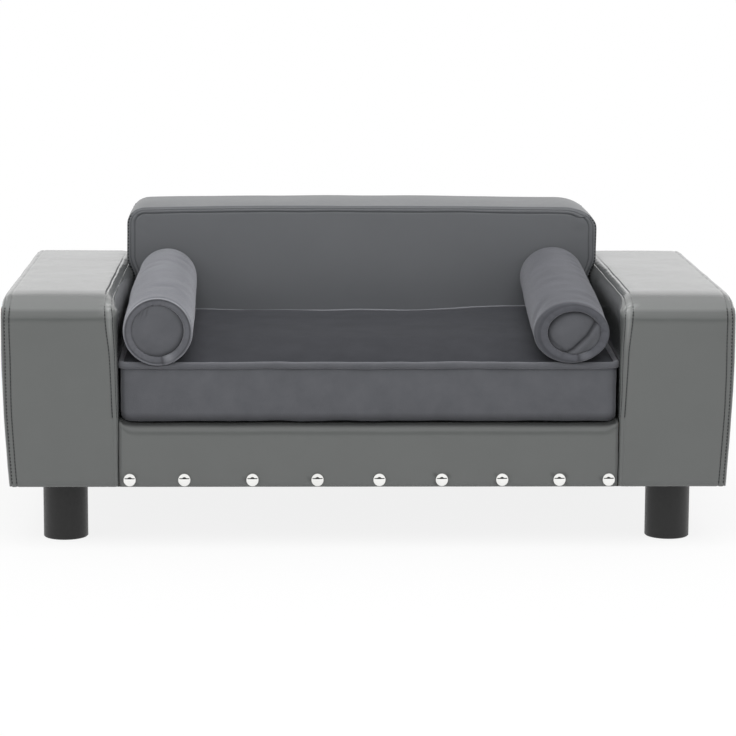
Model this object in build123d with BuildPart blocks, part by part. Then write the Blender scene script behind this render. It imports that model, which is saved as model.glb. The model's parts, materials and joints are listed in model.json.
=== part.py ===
"""Dog sofa bed: a small box-arm sofa for a pet, standing on four round legs.

Two upholstered box arms carry a seat deck and an upholstered backrest. A loose
box cushion lies in the well between them, and two loose bolsters lie on the
cushion against the arms. Chrome nails trim the foot of the front rail.

The floor is Z = 0, the front looks along -Y and the origin is under the
middle of the sofa. All lengths are millimetres.
"""

import os
from math import atan2, degrees, hypot

from build123d import *

# Overall sizes of the upholstered body
overall_width = 810
body_depth = 455
overall_height = 350
back_rise = 69
arm_width = 128
leg_clear_height = 68

# Coverings and linings
leather_t = 1.2
plush_t = 1.5
lining_t = 0.8
dust_cover_t = 0.8
hem_width = 20

# Running and seating clearances
seat_gap = 0.3
slip_gap = 0.15
bore_gap = 0.1
side_gap = 0.8
cut_overrun = 5

# Arm form
arm_inner_radius = 24
arm_outer_radius = 9
arm_front_radius = 24
arm_rear_radius = 14
arm_foot_draw_in = 6.5
arm_belly_drop = 46

# Arm carcase and padding
arm_side_foam = 5
arm_outer_foam = 6
arm_front_foam = 8
arm_rear_foam = 4
arm_top_foam = 18
arm_panel_t = 9
arm_base_t = 15

# Backrest form
back_thickness = 118
back_flare = 8.4
back_flare_height = 30
back_corner_radius = 24
back_rim_radius = 7
back_crown = 2.5

# Backrest carcase and padding
back_front_foam = 20
back_rear_foam = 3
back_side_foam = 4
back_top_foam = 12
back_board_t = 12
back_panel_t = 3

# Front rail
rail_height = 141
rail_end_rise = 6
rail_end_rise_length = 18
rail_rim_radius = 9
rail_front_foam = 9
rail_board_t = 15
rail_flap_depth = 45

# Seat deck
deck_t = 9
cleat_size = 20
block_size = 40
deck_screw_shank_d = 4
deck_screw_head_d = 8
deck_screw_head_h = 2.4
deck_screw_length = 25
deck_screw_end_inset = 50
deck_screws_per_side = 3

# Bolts between the arms and what they carry
bolt_d = 6
bolt_head_d = 12
bolt_head_h = 4
bolt_reach = 25
block_bolt_height = 92
rib_bolt_low_height = 115
rib_bolt_high_drop = 66
rib_bolt_front_inset = 60

# Chrome nails, and where they stand as shares of the rail's length from its left end
nail_places_share = (0.022, 0.131, 0.267, 0.397, 0.521, 0.646, 0.767, 0.882, 0.981)
nail_head_d = 15
nail_head_h = 4.5
nail_shank_d = 2
nail_shank_length = 16
nail_height = 78

# Legs
leg_d = 50
leg_chamfer = 1
leg_side_inset = 64
leg_end_inset = 66
glide_d = 42
glide_t = 3
glide_proud = 0.6
stud_d = 8
stud_depth_in_leg = 22
tnut_flange_d = 22
tnut_flange_t = 1.5
tnut_barrel_d = 10
tnut_barrel_length = 11

# Seat cushion
cushion_front_inset = 9
cushion_back_gap = 5.5
welt_d = 7.5
welt_front_height = 204
welt_rear_height = 219.5
cushion_corner_radius = 22
cushion_draw_in = 1.5
cushion_foot_radius = 16
cushion_foot_inset = 12
cushion_crown = 13

# Zip in the cushion's rear boxing
zip_end_inset = 77
zip_chain_width = 5
zip_proud = 1.5
zip_height = 178
slider_length = 11
slider_wall = 1.2

# Bolsters. Their insets are from the arms' inner faces to the axis, front and rear
bolster_back_gap = 11
bolster_end_radius = 38.5
bolster_belly = 0.8
bolster_end_roll = 7
bolster_cap_radius = 28.6
bolster_cap_sink = 2.5
bolster_cap_dome = 1.6
bolster_overhang = 2
bolster_front_height = 208.2
bolster_rear_height = 226.6
left_bolster_front_inset = 44.4
left_bolster_rear_inset = 41.6
right_bolster_front_inset = 54.5
right_bolster_rear_inset = 47.5

# Main planes, from the sizes above
half_width = overall_width / 2
front_y = -(body_depth - nail_head_h) / 2
rear_y = front_y + body_depth
arm_height = overall_height - back_rise
inner_x = half_width - arm_width
hem_z = leg_clear_height + dust_cover_t
frame_z = hem_z + leather_t
back_y = rear_y - back_thickness
deck_top = rail_height - leather_t
deck_bottom = deck_top - deck_t

os.makedirs("parts", exist_ok=True)


def save(piece, name):
    """Label one finished piece and write it to its own file."""
    piece.label = name
    export_step(piece, f"parts/{name}.step")


def facing_front(y):
    """An upright plane across the sofa at depth y: local x is X, local y is Z."""
    return Plane(origin=(0, y, 0), x_dir=(1, 0, 0), z_dir=(0, -1, 0))


def box_between(low, high):
    """A solid block from its lowest corner to its highest."""
    with BuildPart() as block:
        with BuildSketch(Plane.XY.offset(low[2])):
            with Locations(((low[0] + high[0]) / 2, (low[1] + high[1]) / 2)):
                Rectangle(high[0] - low[0], high[1] - low[1])
        extrude(amount=high[2] - low[2])
    return block.part


def side_box(side, near, far):
    """A block on one side of the sofa, given for the right side and mirrored for the left."""
    xs = sorted((side * near[0], side * far[0]))
    return box_between((xs[0], near[1], near[2]), (xs[1], far[1], far[2]))


def rods(planes, radius, length):
    """Round rods, one on each plane, along the plane's normal."""
    with BuildPart() as group:
        for plane in planes:
            with BuildSketch(plane):
                Circle(radius)
            extrude(amount=length)
    return group.part


# Where the fasteners go
leg_places = {
    f"{row}_{hand}": (side * (half_width - leg_side_inset), y)
    for row, y in (("front", front_y + leg_end_inset), ("rear", rear_y - leg_end_inset))
    for hand, side in (("left", -1), ("right", 1))
}
rail_board_y = front_y + leather_t + rail_front_foam
well_front_y = rail_board_y + rail_board_t
bolt_places = [
    (well_front_y + block_size / 2, block_bolt_height),
    (back_y - block_size / 2, block_bolt_height),
    (back_y + rib_bolt_front_inset, rib_bolt_low_height),
    (back_y + rib_bolt_front_inset, arm_height - rib_bolt_high_drop),
]
arm_panel_x = inner_x + leather_t + arm_side_foam
bolt_head_x = arm_panel_x + arm_panel_t
nail_xs = [inner_x * (2 * share - 1) for share in nail_places_share]


def bolt_planes(start_x):
    """One plane for each connecting bolt, looking inwards from start_x on either side."""
    return [
        Plane(origin=(side * start_x, y, z), x_dir=(0, 1, 0), z_dir=(-side, 0, 0))
        for side in (-1, 1)
        for y, z in bolt_places
    ]


bolt_bores = rods(
    bolt_planes(bolt_head_x + cut_overrun),
    bolt_d / 2 + bore_gap,
    bolt_head_x + cut_overrun - inner_x + bolt_reach + bore_gap,
)
nail_bores = rods(
    [
        Plane(origin=(x, front_y - cut_overrun, nail_height), x_dir=(-1, 0, 0), z_dir=(0, 1, 0))
        for x in nail_xs
    ],
    nail_shank_d / 2 + bore_gap,
    cut_overrun + nail_shank_length + bore_gap,
)
stud_bores = rods(
    [Plane(origin=(x, y, 0)) for x, y in leg_places.values()],
    stud_d / 2 + bore_gap,
    frame_z + arm_base_t + tnut_flange_t + bore_gap,
)


def arm_form(side, inset, foot_z):
    """One arm's outer shape, drawn in by inset on every face above its underside."""
    x_in = side * (inner_x + inset)
    x_out = side * (half_width - inset)
    x_foot = side * (half_width - arm_foot_draw_in - inset)
    top = arm_height - inset
    belly = arm_height - arm_belly_drop
    r_in = arm_inner_radius - inset
    r_out = arm_outer_radius - inset
    with BuildPart() as form:
        with BuildSketch(facing_front(front_y + inset)):
            with BuildLine():
                Line((x_in, foot_z), (x_foot, foot_z))
                TangentArc((x_out, belly), (x_foot, foot_z), tangent=(0, -1))
                Line((x_out, belly), (x_out, top - r_out))
                TangentArc((x_out, top - r_out), (x_out - side * r_out, top), tangent=(0, 1))
                Line((x_out - side * r_out, top), (x_in + side * r_in, top))
                TangentArc((x_in + side * r_in, top), (x_in, top - r_in), tangent=(-side, 0))
                Line((x_in, top - r_in), (x_in, foot_z))
            make_face()
        extrude(amount=-(body_depth - 2 * inset))
        low_y = front_y + inset
        high_y = rear_y - inset
        r_front = arm_front_radius - inset
        r_rear = arm_rear_radius - inset
        with BuildSketch(Plane.YZ):
            with BuildLine():
                Line((low_y, foot_z), (low_y, top - r_front))
                TangentArc((low_y, top - r_front), (low_y + r_front, top), tangent=(0, 1))
                Line((low_y + r_front, top), (high_y - r_rear, top))
                TangentArc((high_y - r_rear, top), (high_y, top - r_rear), tangent=(1, 0))
                Line((high_y, top - r_rear), (high_y, foot_z))
                Line((high_y, foot_z), (low_y, foot_z))
            make_face()
        extrude(amount=side * overall_width, mode=Mode.INTERSECT)
    return form.part


def back_form(inset, foot_z):
    """The backrest's outer shape: it fills the gap between the arms and flares above them."""
    x_low = inner_x - inset
    x_high = x_low + back_flare
    flare_z = arm_height - arm_inner_radius
    top = overall_height - inset
    shoulder = top - back_crown
    with BuildPart() as form:
        with BuildSketch(facing_front(back_y + inset)) as outline:
            with BuildLine():
                for side in (-1, 1):
                    middle = (side * (x_low + back_flare / 2), flare_z + back_flare_height / 2)
                    upper = (side * x_high, flare_z + back_flare_height)
                    Line((side * x_low, foot_z), (side * x_low, flare_z))
                    TangentArc((side * x_low, flare_z), middle, tangent=(0, 1))
                    TangentArc(upper, middle, tangent=(0, -1))
                    Line(upper, (side * x_high, shoulder))
                ThreePointArc((-x_high, shoulder), (0, top), (x_high, shoulder))
                Line((-x_low, foot_z), (x_low, foot_z))
            make_face()
            corners = outline.vertices().group_by(Axis.Y)[-1]
            fillet(corners, radius=back_corner_radius - inset)
        extrude(amount=-(rear_y - back_y - 2 * inset))
        for rim in (form.faces().sort_by(Axis.Y)[0], form.faces().sort_by(Axis.Y)[-1]):
            fillet(rim.edges().sort_by(Axis.Z)[1:], radius=back_rim_radius - inset)
    return form.part


def rail_form(inset, foot_z):
    """The front rail's outer shape, with its top drawn up at both ends."""
    x_end = inner_x
    top = rail_height - inset
    x_rise = x_end - rail_end_rise_length
    with BuildPart() as form:
        with BuildSketch(facing_front(front_y + inset)):
            with BuildLine():
                Line((-x_end, foot_z), (x_end, foot_z))
                for side in (-1, 1):
                    Line((side * x_end, foot_z), (side * x_end, top + rail_end_rise))
                    TangentArc(
                        (side * x_rise, top), (side * x_end, top + rail_end_rise), tangent=(side, 0)
                    )
                Line((-x_rise, top), (x_rise, top))
            make_face()
        extrude(amount=-(rail_flap_depth - inset))
        rim = form.faces().sort_by(Axis.Y)[0].edges().filter_by(GeomType.LINE, reverse=True)
        flat = form.faces().sort_by(Axis.Y)[0].edges().filter_by(GeomType.LINE)
        fillet(rim + flat.sort_by(Axis.Z)[-1:], radius=rail_rim_radius - inset)
    return form.part


# Arms: a box of boards, a foam wrap and a leather cover
frame_front_y = front_y + leather_t + arm_front_foam
frame_rear_y = rear_y - leather_t - arm_rear_foam
frame_outer_x = half_width - leather_t - arm_outer_foam - arm_foot_draw_in
frame_top_z = arm_height - leather_t - arm_top_foam


def make_arm(side, hand):
    """All the pieces of one arm."""
    near_x = arm_panel_x + arm_panel_t
    far_x = frame_outer_x - arm_panel_t
    low_z = frame_z + arm_base_t
    high_z = frame_top_z - arm_panel_t

    with BuildPart() as inner_panel:
        add(side_box(side, (arm_panel_x, frame_front_y, frame_z), (near_x, frame_rear_y, frame_top_z)))
        add(bolt_bores, mode=Mode.SUBTRACT)
    save(inner_panel.part, f"{hand}_arm_inner_panel")

    with BuildPart() as outer_panel:
        add(side_box(side, (far_x, frame_front_y, frame_z), (frame_outer_x, frame_rear_y, frame_top_z)))
    save(outer_panel.part, f"{hand}_arm_outer_panel")

    with BuildPart() as front_board:
        board_y = frame_front_y + arm_panel_t
        add(side_box(side, (near_x, frame_front_y, low_z), (far_x, board_y, high_z)))
    save(front_board.part, f"{hand}_arm_front_board")

    with BuildPart() as rear_board:
        board_y = frame_rear_y - arm_panel_t
        add(side_box(side, (near_x, board_y, low_z), (far_x, frame_rear_y, high_z)))
    save(rear_board.part, f"{hand}_arm_rear_board")

    with BuildPart() as top_board:
        add(side_box(side, (near_x, frame_front_y, high_z), (far_x, frame_rear_y, frame_top_z)))
    save(top_board.part, f"{hand}_arm_top_board")

    with BuildPart() as base_board:
        add(side_box(side, (near_x, frame_front_y, frame_z), (far_x, frame_rear_y, low_z)))
        for x, y in leg_places.values():
            if x * side > 0:
                with BuildSketch(Plane.XY.offset(frame_z)):
                    with Locations((x, y)):
                        Circle(tnut_barrel_d / 2 + bore_gap)
                extrude(amount=arm_base_t, mode=Mode.SUBTRACT)
    save(base_board.part, f"{hand}_arm_base_board")

    lined_form = arm_form(side, leather_t, frame_z)
    carcase = side_box(
        side, (arm_panel_x, frame_front_y, frame_z), (frame_outer_x, frame_rear_y, frame_top_z)
    )
    with BuildPart() as foam:
        add(lined_form)
        add(carcase, mode=Mode.SUBTRACT)
        add(bolt_bores, mode=Mode.SUBTRACT)
    save(foam.part, f"{hand}_arm_foam")

    hem_window = side_box(
        side,
        (inner_x + hem_width, front_y + hem_width, hem_z),
        (half_width - arm_foot_draw_in - hem_width, rear_y - hem_width, frame_z),
    )
    skin = arm_form(side, 0, hem_z)
    with BuildPart() as cover:
        add(skin)
        add(lined_form, mode=Mode.SUBTRACT)
        add(hem_window, mode=Mode.SUBTRACT)
        add(bolt_bores, mode=Mode.SUBTRACT)
    save(cover.part, f"{hand}_arm_cover")


make_arm(-1, "left")
make_arm(1, "right")

# Backrest: ribs between two boards, faced with thin panels, then foam and cover
rib_front_y = back_y + leather_t + back_front_foam + back_panel_t
rib_rear_y = rear_y - leather_t - back_rear_foam - back_panel_t
back_frame_x = inner_x - leather_t - back_side_foam
back_frame_top = overall_height - back_crown - leather_t - back_top_foam

with BuildPart() as back_bottom_board:
    add(
        box_between(
            (-back_frame_x, rib_front_y, frame_z),
            (back_frame_x, rib_rear_y, frame_z + back_board_t),
        )
    )
save(back_bottom_board.part, "back_bottom_board")

with BuildPart() as back_top_board:
    add(
        box_between(
            (-back_frame_x, rib_front_y, back_frame_top - back_board_t),
            (back_frame_x, rib_rear_y, back_frame_top),
        )
    )
save(back_top_board.part, "back_top_board")

with BuildPart() as back_ribs:
    for rib_x in (-back_frame_x, -back_board_t / 2, back_frame_x - back_board_t):
        add(
            box_between(
                (rib_x, rib_front_y, frame_z + back_board_t),
                (rib_x + back_board_t, rib_rear_y, back_frame_top - back_board_t),
            )
        )
    add(bolt_bores, mode=Mode.SUBTRACT)
save(back_ribs.part, "back_ribs")

with BuildPart() as back_front_panel:
    add(
        box_between(
            (-back_frame_x, rib_front_y - back_panel_t, frame_z),
            (back_frame_x, rib_front_y, back_frame_top),
        )
    )
save(back_front_panel.part, "back_front_panel")

with BuildPart() as back_rear_panel:
    add(
        box_between(
            (-back_frame_x, rib_rear_y, frame_z),
            (back_frame_x, rib_rear_y + back_panel_t, back_frame_top),
        )
    )
save(back_rear_panel.part, "back_rear_panel")

lined_back = back_form(leather_t, frame_z)
back_carcase = box_between(
    (-back_frame_x, rib_front_y - back_panel_t, frame_z),
    (back_frame_x, rib_rear_y + back_panel_t, back_frame_top),
)
with BuildPart() as back_foam:
    add(lined_back)
    add(back_carcase, mode=Mode.SUBTRACT)
    add(bolt_bores, mode=Mode.SUBTRACT)
save(back_foam.part, "back_foam")

back_skin = back_form(0, hem_z)
back_hem_window = box_between(
    (hem_width - inner_x, back_y + hem_width, hem_z), (inner_x - hem_width, rear_y - hem_width, frame_z)
)
with BuildPart() as back_cover:
    add(back_skin)
    add(lined_back, mode=Mode.SUBTRACT)
    add(back_hem_window, mode=Mode.SUBTRACT)
    add(bolt_bores, mode=Mode.SUBTRACT)
save(back_cover.part, "back_cover")

# Front rail: a board on edge, foam over it and a cover turned onto the deck
with BuildPart() as rail_board:
    add(box_between((-inner_x, rail_board_y, frame_z), (inner_x, well_front_y, deck_bottom)))
    add(nail_bores, mode=Mode.SUBTRACT)
save(rail_board.part, "front_rail_board")

lined_rail = rail_form(leather_t, frame_z)
behind_rail_foam = box_between(
    (-inner_x, rail_board_y, frame_z), (inner_x, front_y + rail_flap_depth, deck_top)
)
with BuildPart() as rail_foam:
    add(lined_rail)
    add(behind_rail_foam, mode=Mode.SUBTRACT)
    add(nail_bores, mode=Mode.SUBTRACT)
save(rail_foam.part, "front_rail_foam")

rail_skin = rail_form(0, hem_z)
rail_hem_window = box_between(
    (-inner_x, front_y + hem_width, hem_z), (inner_x, front_y + rail_flap_depth, deck_top)
)
with BuildPart() as rail_cover:
    add(rail_skin)
    add(lined_rail, mode=Mode.SUBTRACT)
    add(rail_hem_window, mode=Mode.SUBTRACT)
    add(nail_bores, mode=Mode.SUBTRACT)
save(rail_cover.part, "front_rail_cover")

# Seat deck on cleats and corner blocks, screwed down and lined
screw_pitch = (back_y - rail_board_y - 2 * deck_screw_end_inset) / (deck_screws_per_side - 1)
screw_places = [
    (side * (inner_x - cleat_size / 2), rail_board_y + deck_screw_end_inset + i * screw_pitch)
    for side in (-1, 1)
    for i in range(deck_screws_per_side)
]


def screw_solids(grow):
    """The deck screws, or with grow their clearance holes."""
    shank = deck_screw_shank_d / 2 + grow
    head = deck_screw_head_d / 2 + grow
    with BuildPart() as group:
        for x, y in screw_places:
            with BuildSketch(Plane(origin=(x, y, deck_top - deck_screw_length - grow))):
                Circle(shank)
            extrude(amount=deck_screw_length + grow)
            with BuildSketch(Plane(origin=(x, y, deck_top - deck_screw_head_h))):
                Circle(shank)
            with BuildSketch(Plane(origin=(x, y, deck_top))):
                Circle(head)
            loft(ruled=True)
    return group.part


screw_bores = screw_solids(bore_gap)

with BuildPart() as deck_board:
    add(box_between((-inner_x, rail_board_y, deck_bottom), (inner_x, back_y, deck_top)))
    add(screw_bores, mode=Mode.SUBTRACT)
save(deck_board.part, "seat_deck_board")

with BuildPart() as deck_cleats:
    cleat_z = deck_bottom - cleat_size
    for side in (-1, 1):
        add(
            side_box(
                side, (inner_x - cleat_size, well_front_y, cleat_z), (inner_x, back_y, deck_bottom)
            )
        )
    add(screw_bores, mode=Mode.SUBTRACT)
save(deck_cleats.part, "deck_side_cleats")

with BuildPart() as rear_cleat:
    cleat_end = inner_x - cleat_size
    add(box_between((-cleat_end, back_y - cleat_size, cleat_z), (cleat_end, back_y, deck_bottom)))
save(rear_cleat.part, "deck_rear_cleat")

with BuildPart() as corner_blocks:
    for side in (-1, 1):
        for block_y in (well_front_y, back_y - block_size):
            add(
                side_box(
                    side,
                    (inner_x - block_size, block_y, frame_z),
                    (inner_x, block_y + block_size, cleat_z),
                )
            )
    add(bolt_bores, mode=Mode.SUBTRACT)
save(corner_blocks.part, "corner_blocks")

with BuildPart() as deck_lining:
    add(
        box_between(
            (-inner_x, front_y + rail_flap_depth, deck_top), (inner_x, back_y, deck_top + lining_t)
        )
    )
save(deck_lining.part, "seat_deck_lining")

save(screw_solids(0), "deck_screws")

# Connecting bolts, driven from inside the arms
with BuildPart() as frame_bolts:
    add(rods(bolt_planes(bolt_head_x), bolt_d / 2, bolt_head_x - inner_x + bolt_reach))
    add(rods(bolt_planes(bolt_head_x + bolt_head_h), bolt_head_d / 2, bolt_head_h))
save(frame_bolts.part, "frame_bolts")

# Chrome dome nails along the foot of the front rail
with BuildPart() as nails:
    dome_r = (nail_head_h**2 + (nail_head_d / 2) ** 2) / (2 * nail_head_h)
    for nail_x in nail_xs:
        nail_plane = Plane(
            origin=(nail_x, front_y, nail_height), x_dir=(1, 0, 0), z_dir=(0, 0, 1)
        )
        with BuildSketch(nail_plane):
            with BuildLine():
                Line((0, -nail_head_h), (0, nail_shank_length))
                Line((0, nail_shank_length), (nail_shank_d / 2, nail_shank_length - nail_shank_d))
                Line((nail_shank_d / 2, nail_shank_length - nail_shank_d), (nail_shank_d / 2, 0))
                Line((nail_shank_d / 2, 0), (nail_head_d / 2, 0))
                RadiusArc((nail_head_d / 2, 0), (0, -nail_head_h), dome_r)
            make_face()
        revolve(axis=Axis((nail_x, front_y, nail_height), (0, 1, 0)))
save(nails.part, "rail_nails")

# Underside dust cover
with BuildPart() as dust_cover:
    dust_x = half_width - arm_foot_draw_in - hem_width / 2
    dust_margin = hem_width / 2
    add(
        box_between(
            (-dust_x, front_y + dust_margin, leg_clear_height), (dust_x, rear_y - dust_margin, hem_z)
        )
    )
    add(stud_bores, mode=Mode.SUBTRACT)
save(dust_cover.part, "dust_cover")

# Legs, studs, T-nuts and glides. Each glide is let into its leg's foot and stands a little proud
leg_length = leg_clear_height - glide_proud
for place, (leg_x, leg_y) in leg_places.items():
    with BuildPart() as leg:
        with BuildSketch(Plane(origin=(leg_x, leg_y, glide_proud))):
            Circle(leg_d / 2)
        extrude(amount=leg_length)
        chamfer(leg.edges().filter_by(GeomType.CIRCLE), length=leg_chamfer)
        with BuildSketch(Plane(origin=(leg_x, leg_y, glide_proud))):
            Circle(glide_d / 2 + slip_gap)
        extrude(amount=glide_t - glide_proud, mode=Mode.SUBTRACT)
        with BuildSketch(Plane(origin=(leg_x, leg_y, leg_clear_height - stud_depth_in_leg))):
            Circle(stud_d / 2 + bore_gap)
        extrude(amount=stud_depth_in_leg, mode=Mode.SUBTRACT)
    save(leg.part, f"{place}_leg")

leg_axes = list(leg_places.values())
tnut_top = frame_z + arm_base_t + tnut_flange_t
with BuildPart() as leg_studs:
    stud_foot = leg_clear_height - stud_depth_in_leg + bore_gap
    add(rods([Plane(origin=(x, y, stud_foot)) for x, y in leg_axes], stud_d / 2, tnut_top - stud_foot))
save(leg_studs.part, "leg_studs")

with BuildPart() as leg_tnuts:
    barrel_foot = tnut_top - tnut_flange_t - tnut_barrel_length
    flanges = [Plane(origin=(x, y, tnut_top - tnut_flange_t)) for x, y in leg_axes]
    barrels = [Plane(origin=(x, y, barrel_foot)) for x, y in leg_axes]
    add(rods(flanges, tnut_flange_d / 2, tnut_flange_t))
    add(rods(barrels, tnut_barrel_d / 2, tnut_barrel_length))
    add(stud_bores, mode=Mode.SUBTRACT)
save(leg_tnuts.part, "leg_tnuts")

with BuildPart() as leg_glides:
    add(rods([Plane(origin=(x, y, 0)) for x, y in leg_axes], glide_d / 2, glide_t))
save(leg_glides.part, "leg_glides")

# Bolster frames: where each one lies, and the line of its axis
bolster_length = back_y - front_y + bolster_overhang - bolster_back_gap


def bolster_plane(front_x, rear_x):
    """A plane at the bolster's front end: local x runs back along its axis, local y is up."""
    rise = bolster_rear_height - bolster_front_height
    run = hypot(bolster_length, rise)
    start = Vector(
        front_x, front_y - bolster_overhang, bolster_front_height + bolster_end_radius
    )
    ahead = Vector(rear_x - front_x, bolster_length * bolster_length / run, rise)
    return Plane(origin=start, x_dir=ahead, z_dir=(ahead.Y, -ahead.X, 0))


bolster_planes = {
    "left": bolster_plane(left_bolster_front_inset - inner_x, left_bolster_rear_inset - inner_x),
    "right": bolster_plane(inner_x - right_bolster_front_inset, inner_x - right_bolster_rear_inset),
}


def bolster_outline(inset, end_r):
    """Half of the bolster's profile from one end disc to the other, as drawn lines."""
    low = inset
    high = bolster_length - inset
    roll = bolster_end_roll - inset
    side_r = bolster_end_radius - inset
    Line((low, end_r), (low, side_r - roll))
    TangentArc((low, side_r - roll), (low + roll, side_r), tangent=(0, 1))
    ThreePointArc(
        (low + roll, side_r), (bolster_length / 2, side_r + bolster_belly), (high - roll, side_r)
    )
    TangentArc((high, side_r - roll), (high - roll, side_r), tangent=(0, 1))
    Line((high, side_r - roll), (high, end_r))


def bolster_envelope(plane, grow):
    """The whole bolster as one solid, swollen by grow, for the dent that it presses."""
    with BuildPart() as envelope:
        with BuildSketch(plane):
            with BuildLine():
                bolster_outline(-grow, 0)
                Line((bolster_length + grow, 0), (-grow, 0))
            make_face()
        revolve(axis=Axis(plane.origin, plane.x_dir))
    return envelope.part


# Seat cushion: a box cushion whose top rises to the rear
cushion_front_y = front_y + cushion_front_inset
cushion_rear_y = back_y - cushion_back_gap
cushion_half_x = inner_x - side_gap - welt_d / 2
cushion_foot_z = rail_height + seat_gap
cushion_mid_y = (cushion_front_y + cushion_rear_y) / 2
cushion_depth = cushion_rear_y - cushion_front_y
welt_mid_z = (welt_front_height + welt_rear_height) / 2
welt_rise = welt_rear_height - welt_front_height
welt_tilt = degrees(atan2(welt_rise, cushion_depth))


def cushion_level(height_share, lift):
    """A level of the cushion: share 0 is the foot, share 1 the welt, and lift is above that."""
    z = cushion_foot_z + (welt_mid_z - cushion_foot_z) * height_share + lift
    return Plane(origin=(0, cushion_mid_y, z)).rotated((welt_tilt * height_share, 0, 0))


def cushion_ring(inset):
    """Draw one outline of the cushion: rounded corners and sides that draw in between them."""
    x = cushion_half_x - inset
    y = cushion_depth / 2 - inset
    r = cushion_corner_radius
    for s in (-1, 1):
        ThreePointArc((r - x, s * y), (0, s * (y - cushion_draw_in)), (x - r, s * y))
        ThreePointArc((s * x, r - y), (s * (x - cushion_draw_in), 0), (s * x, y - r))
        TangentArc((s * x, y - r), (s * (x - r), y), tangent=(0, 1))
        TangentArc((s * x, r - y), (s * (x - r), -y), tangent=(0, -1))


# Shares of the foot radius, the boxing height and the crown, each with its share of inset
foot_steps_share = ((0.0, 1.0), (0.3, 0.29), (1.0, 0.0))
side_steps_share = (0.6, 1.0)
crown_steps_share = ((0.45, 0.06), (0.75, 0.16), (0.93, 0.34), (1.0, 0.56))


def cushion_form(inset):
    """The cushion's body, drawn in by inset all round: boxing, welt line and crown."""
    side_height = welt_mid_z - cushion_foot_z
    rings = []
    for rise_share, inset_share in foot_steps_share:
        lift = cushion_foot_radius * rise_share + inset * (1 - rise_share)
        rings.append((cushion_level(lift / side_height, 0), cushion_foot_inset * inset_share))
    for height_share in side_steps_share:
        rings.append((cushion_level(height_share, 0), 0))
    for lift_share, inset_share in crown_steps_share:
        lift = (cushion_crown - inset) * lift_share
        rings.append((cushion_level(1, lift), cushion_depth / 2 * inset_share))
    with BuildPart() as form:
        for plane, ring_inset in rings:
            with BuildSketch(plane):
                with BuildLine():
                    cushion_ring(ring_inset + inset)
                make_face()
        loft(ruled=True)
    return form.part


# Welt round the cushion's top edge
welt_x = cushion_half_x
welt_y = cushion_depth / 2
welt_r = cushion_corner_radius
with BuildPart() as seat_welt:
    with BuildLine() as welt_line:
        for s in (-1, 1):
            Line((welt_r - welt_x, s * welt_y), (welt_x - welt_r, s * welt_y))
            Line((s * welt_x, welt_r - welt_y), (s * welt_x, welt_y - welt_r))
            TangentArc((s * welt_x, welt_y - welt_r), (s * (welt_x - welt_r), welt_y), tangent=(0, 1))
            TangentArc(
                (s * welt_x, welt_r - welt_y), (s * (welt_x - welt_r), -welt_y), tangent=(0, -1)
            )
    welt_path = welt_line.wire().moved(cushion_level(1, 0).location)
    with BuildSketch(Plane(origin=welt_path @ 0, z_dir=welt_path % 0)):
        Circle(welt_d / 2)
    sweep(path=welt_path)
welt_rope = seat_welt.part

with BuildPart() as dented_welt:
    add(welt_rope)
    for plane in bolster_planes.values():
        add(bolster_envelope(plane, seat_gap), mode=Mode.SUBTRACT)
save(dented_welt.part, "seat_cushion_welt")

# Foam core and sewn cover, both dented where the bolsters press. The welt is sewn in
# between the top panel and the boxing, which carries the bottom panel.
core_inset = plush_t + slip_gap
with BuildPart() as seat_core:
    add(cushion_form(core_inset))
    for plane in bolster_planes.values():
        add(bolster_envelope(plane, seat_gap + core_inset), mode=Mode.SUBTRACT)
    add(welt_rope, mode=Mode.SUBTRACT)
save(seat_core.part, "seat_cushion_core")

zip_half_length = inner_x - zip_end_inset
zip_half_width = zip_chain_width / 2
zip_back_y = cushion_rear_y + zip_proud
zip_slot = box_between(
    (-zip_half_length, cushion_rear_y - cut_overrun, zip_height - zip_half_width - bore_gap),
    (zip_half_length, cushion_rear_y + cut_overrun, zip_height + zip_half_width + bore_gap),
)
with BuildPart() as seat_skin:
    add(cushion_form(0))
    for plane in bolster_planes.values():
        add(bolster_envelope(plane, seat_gap), mode=Mode.SUBTRACT)
with BuildPart() as seat_cavity:
    add(cushion_form(plush_t))
    for plane in bolster_planes.values():
        add(bolster_envelope(plane, seat_gap + plush_t), mode=Mode.SUBTRACT)
with BuildPart() as seat_cover:
    add(seat_skin.part)
    add(seat_cavity.part, mode=Mode.SUBTRACT)
    add(welt_rope, mode=Mode.SUBTRACT)
    add(zip_slot, mode=Mode.SUBTRACT)
boxing_solid, top_solid = seat_cover.solids().sort_by(Axis.Z)
save(Part(top_solid.wrapped), "seat_cushion_top_panel")
save(Part(boxing_solid.wrapped), "seat_cushion_boxing")

# Zip chain in the rear boxing, and the slider that straddles it
with BuildPart() as zip_chain:
    add(
        box_between(
            (-zip_half_length, cushion_rear_y - plush_t, zip_height - zip_half_width),
            (zip_half_length, zip_back_y, zip_height + zip_half_width),
        )
    )
save(zip_chain.part, "seat_zip_chain")

slider_start_x = bore_gap - zip_half_length
slider_y = cushion_rear_y + seat_gap
slider_half_height = zip_half_width + seat_gap + slider_wall
with BuildPart() as zip_slider:
    add(
        box_between(
            (slider_start_x, slider_y, zip_height - slider_half_height),
            (
                slider_start_x + slider_length,
                zip_back_y + seat_gap + slider_wall,
                zip_height + slider_half_height,
            ),
        )
    )
    fillet(zip_slider.faces().sort_by(Axis.Y)[-1].edges(), radius=slider_wall / 2)
    add(
        box_between(
            (-zip_half_length - cut_overrun, cushion_rear_y, zip_height - zip_half_width - seat_gap),
            (zip_half_length, zip_back_y + seat_gap, zip_height + zip_half_width + seat_gap),
        ),
        mode=Mode.SUBTRACT,
    )
save(zip_slider.part, "seat_zip_slider")


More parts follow.
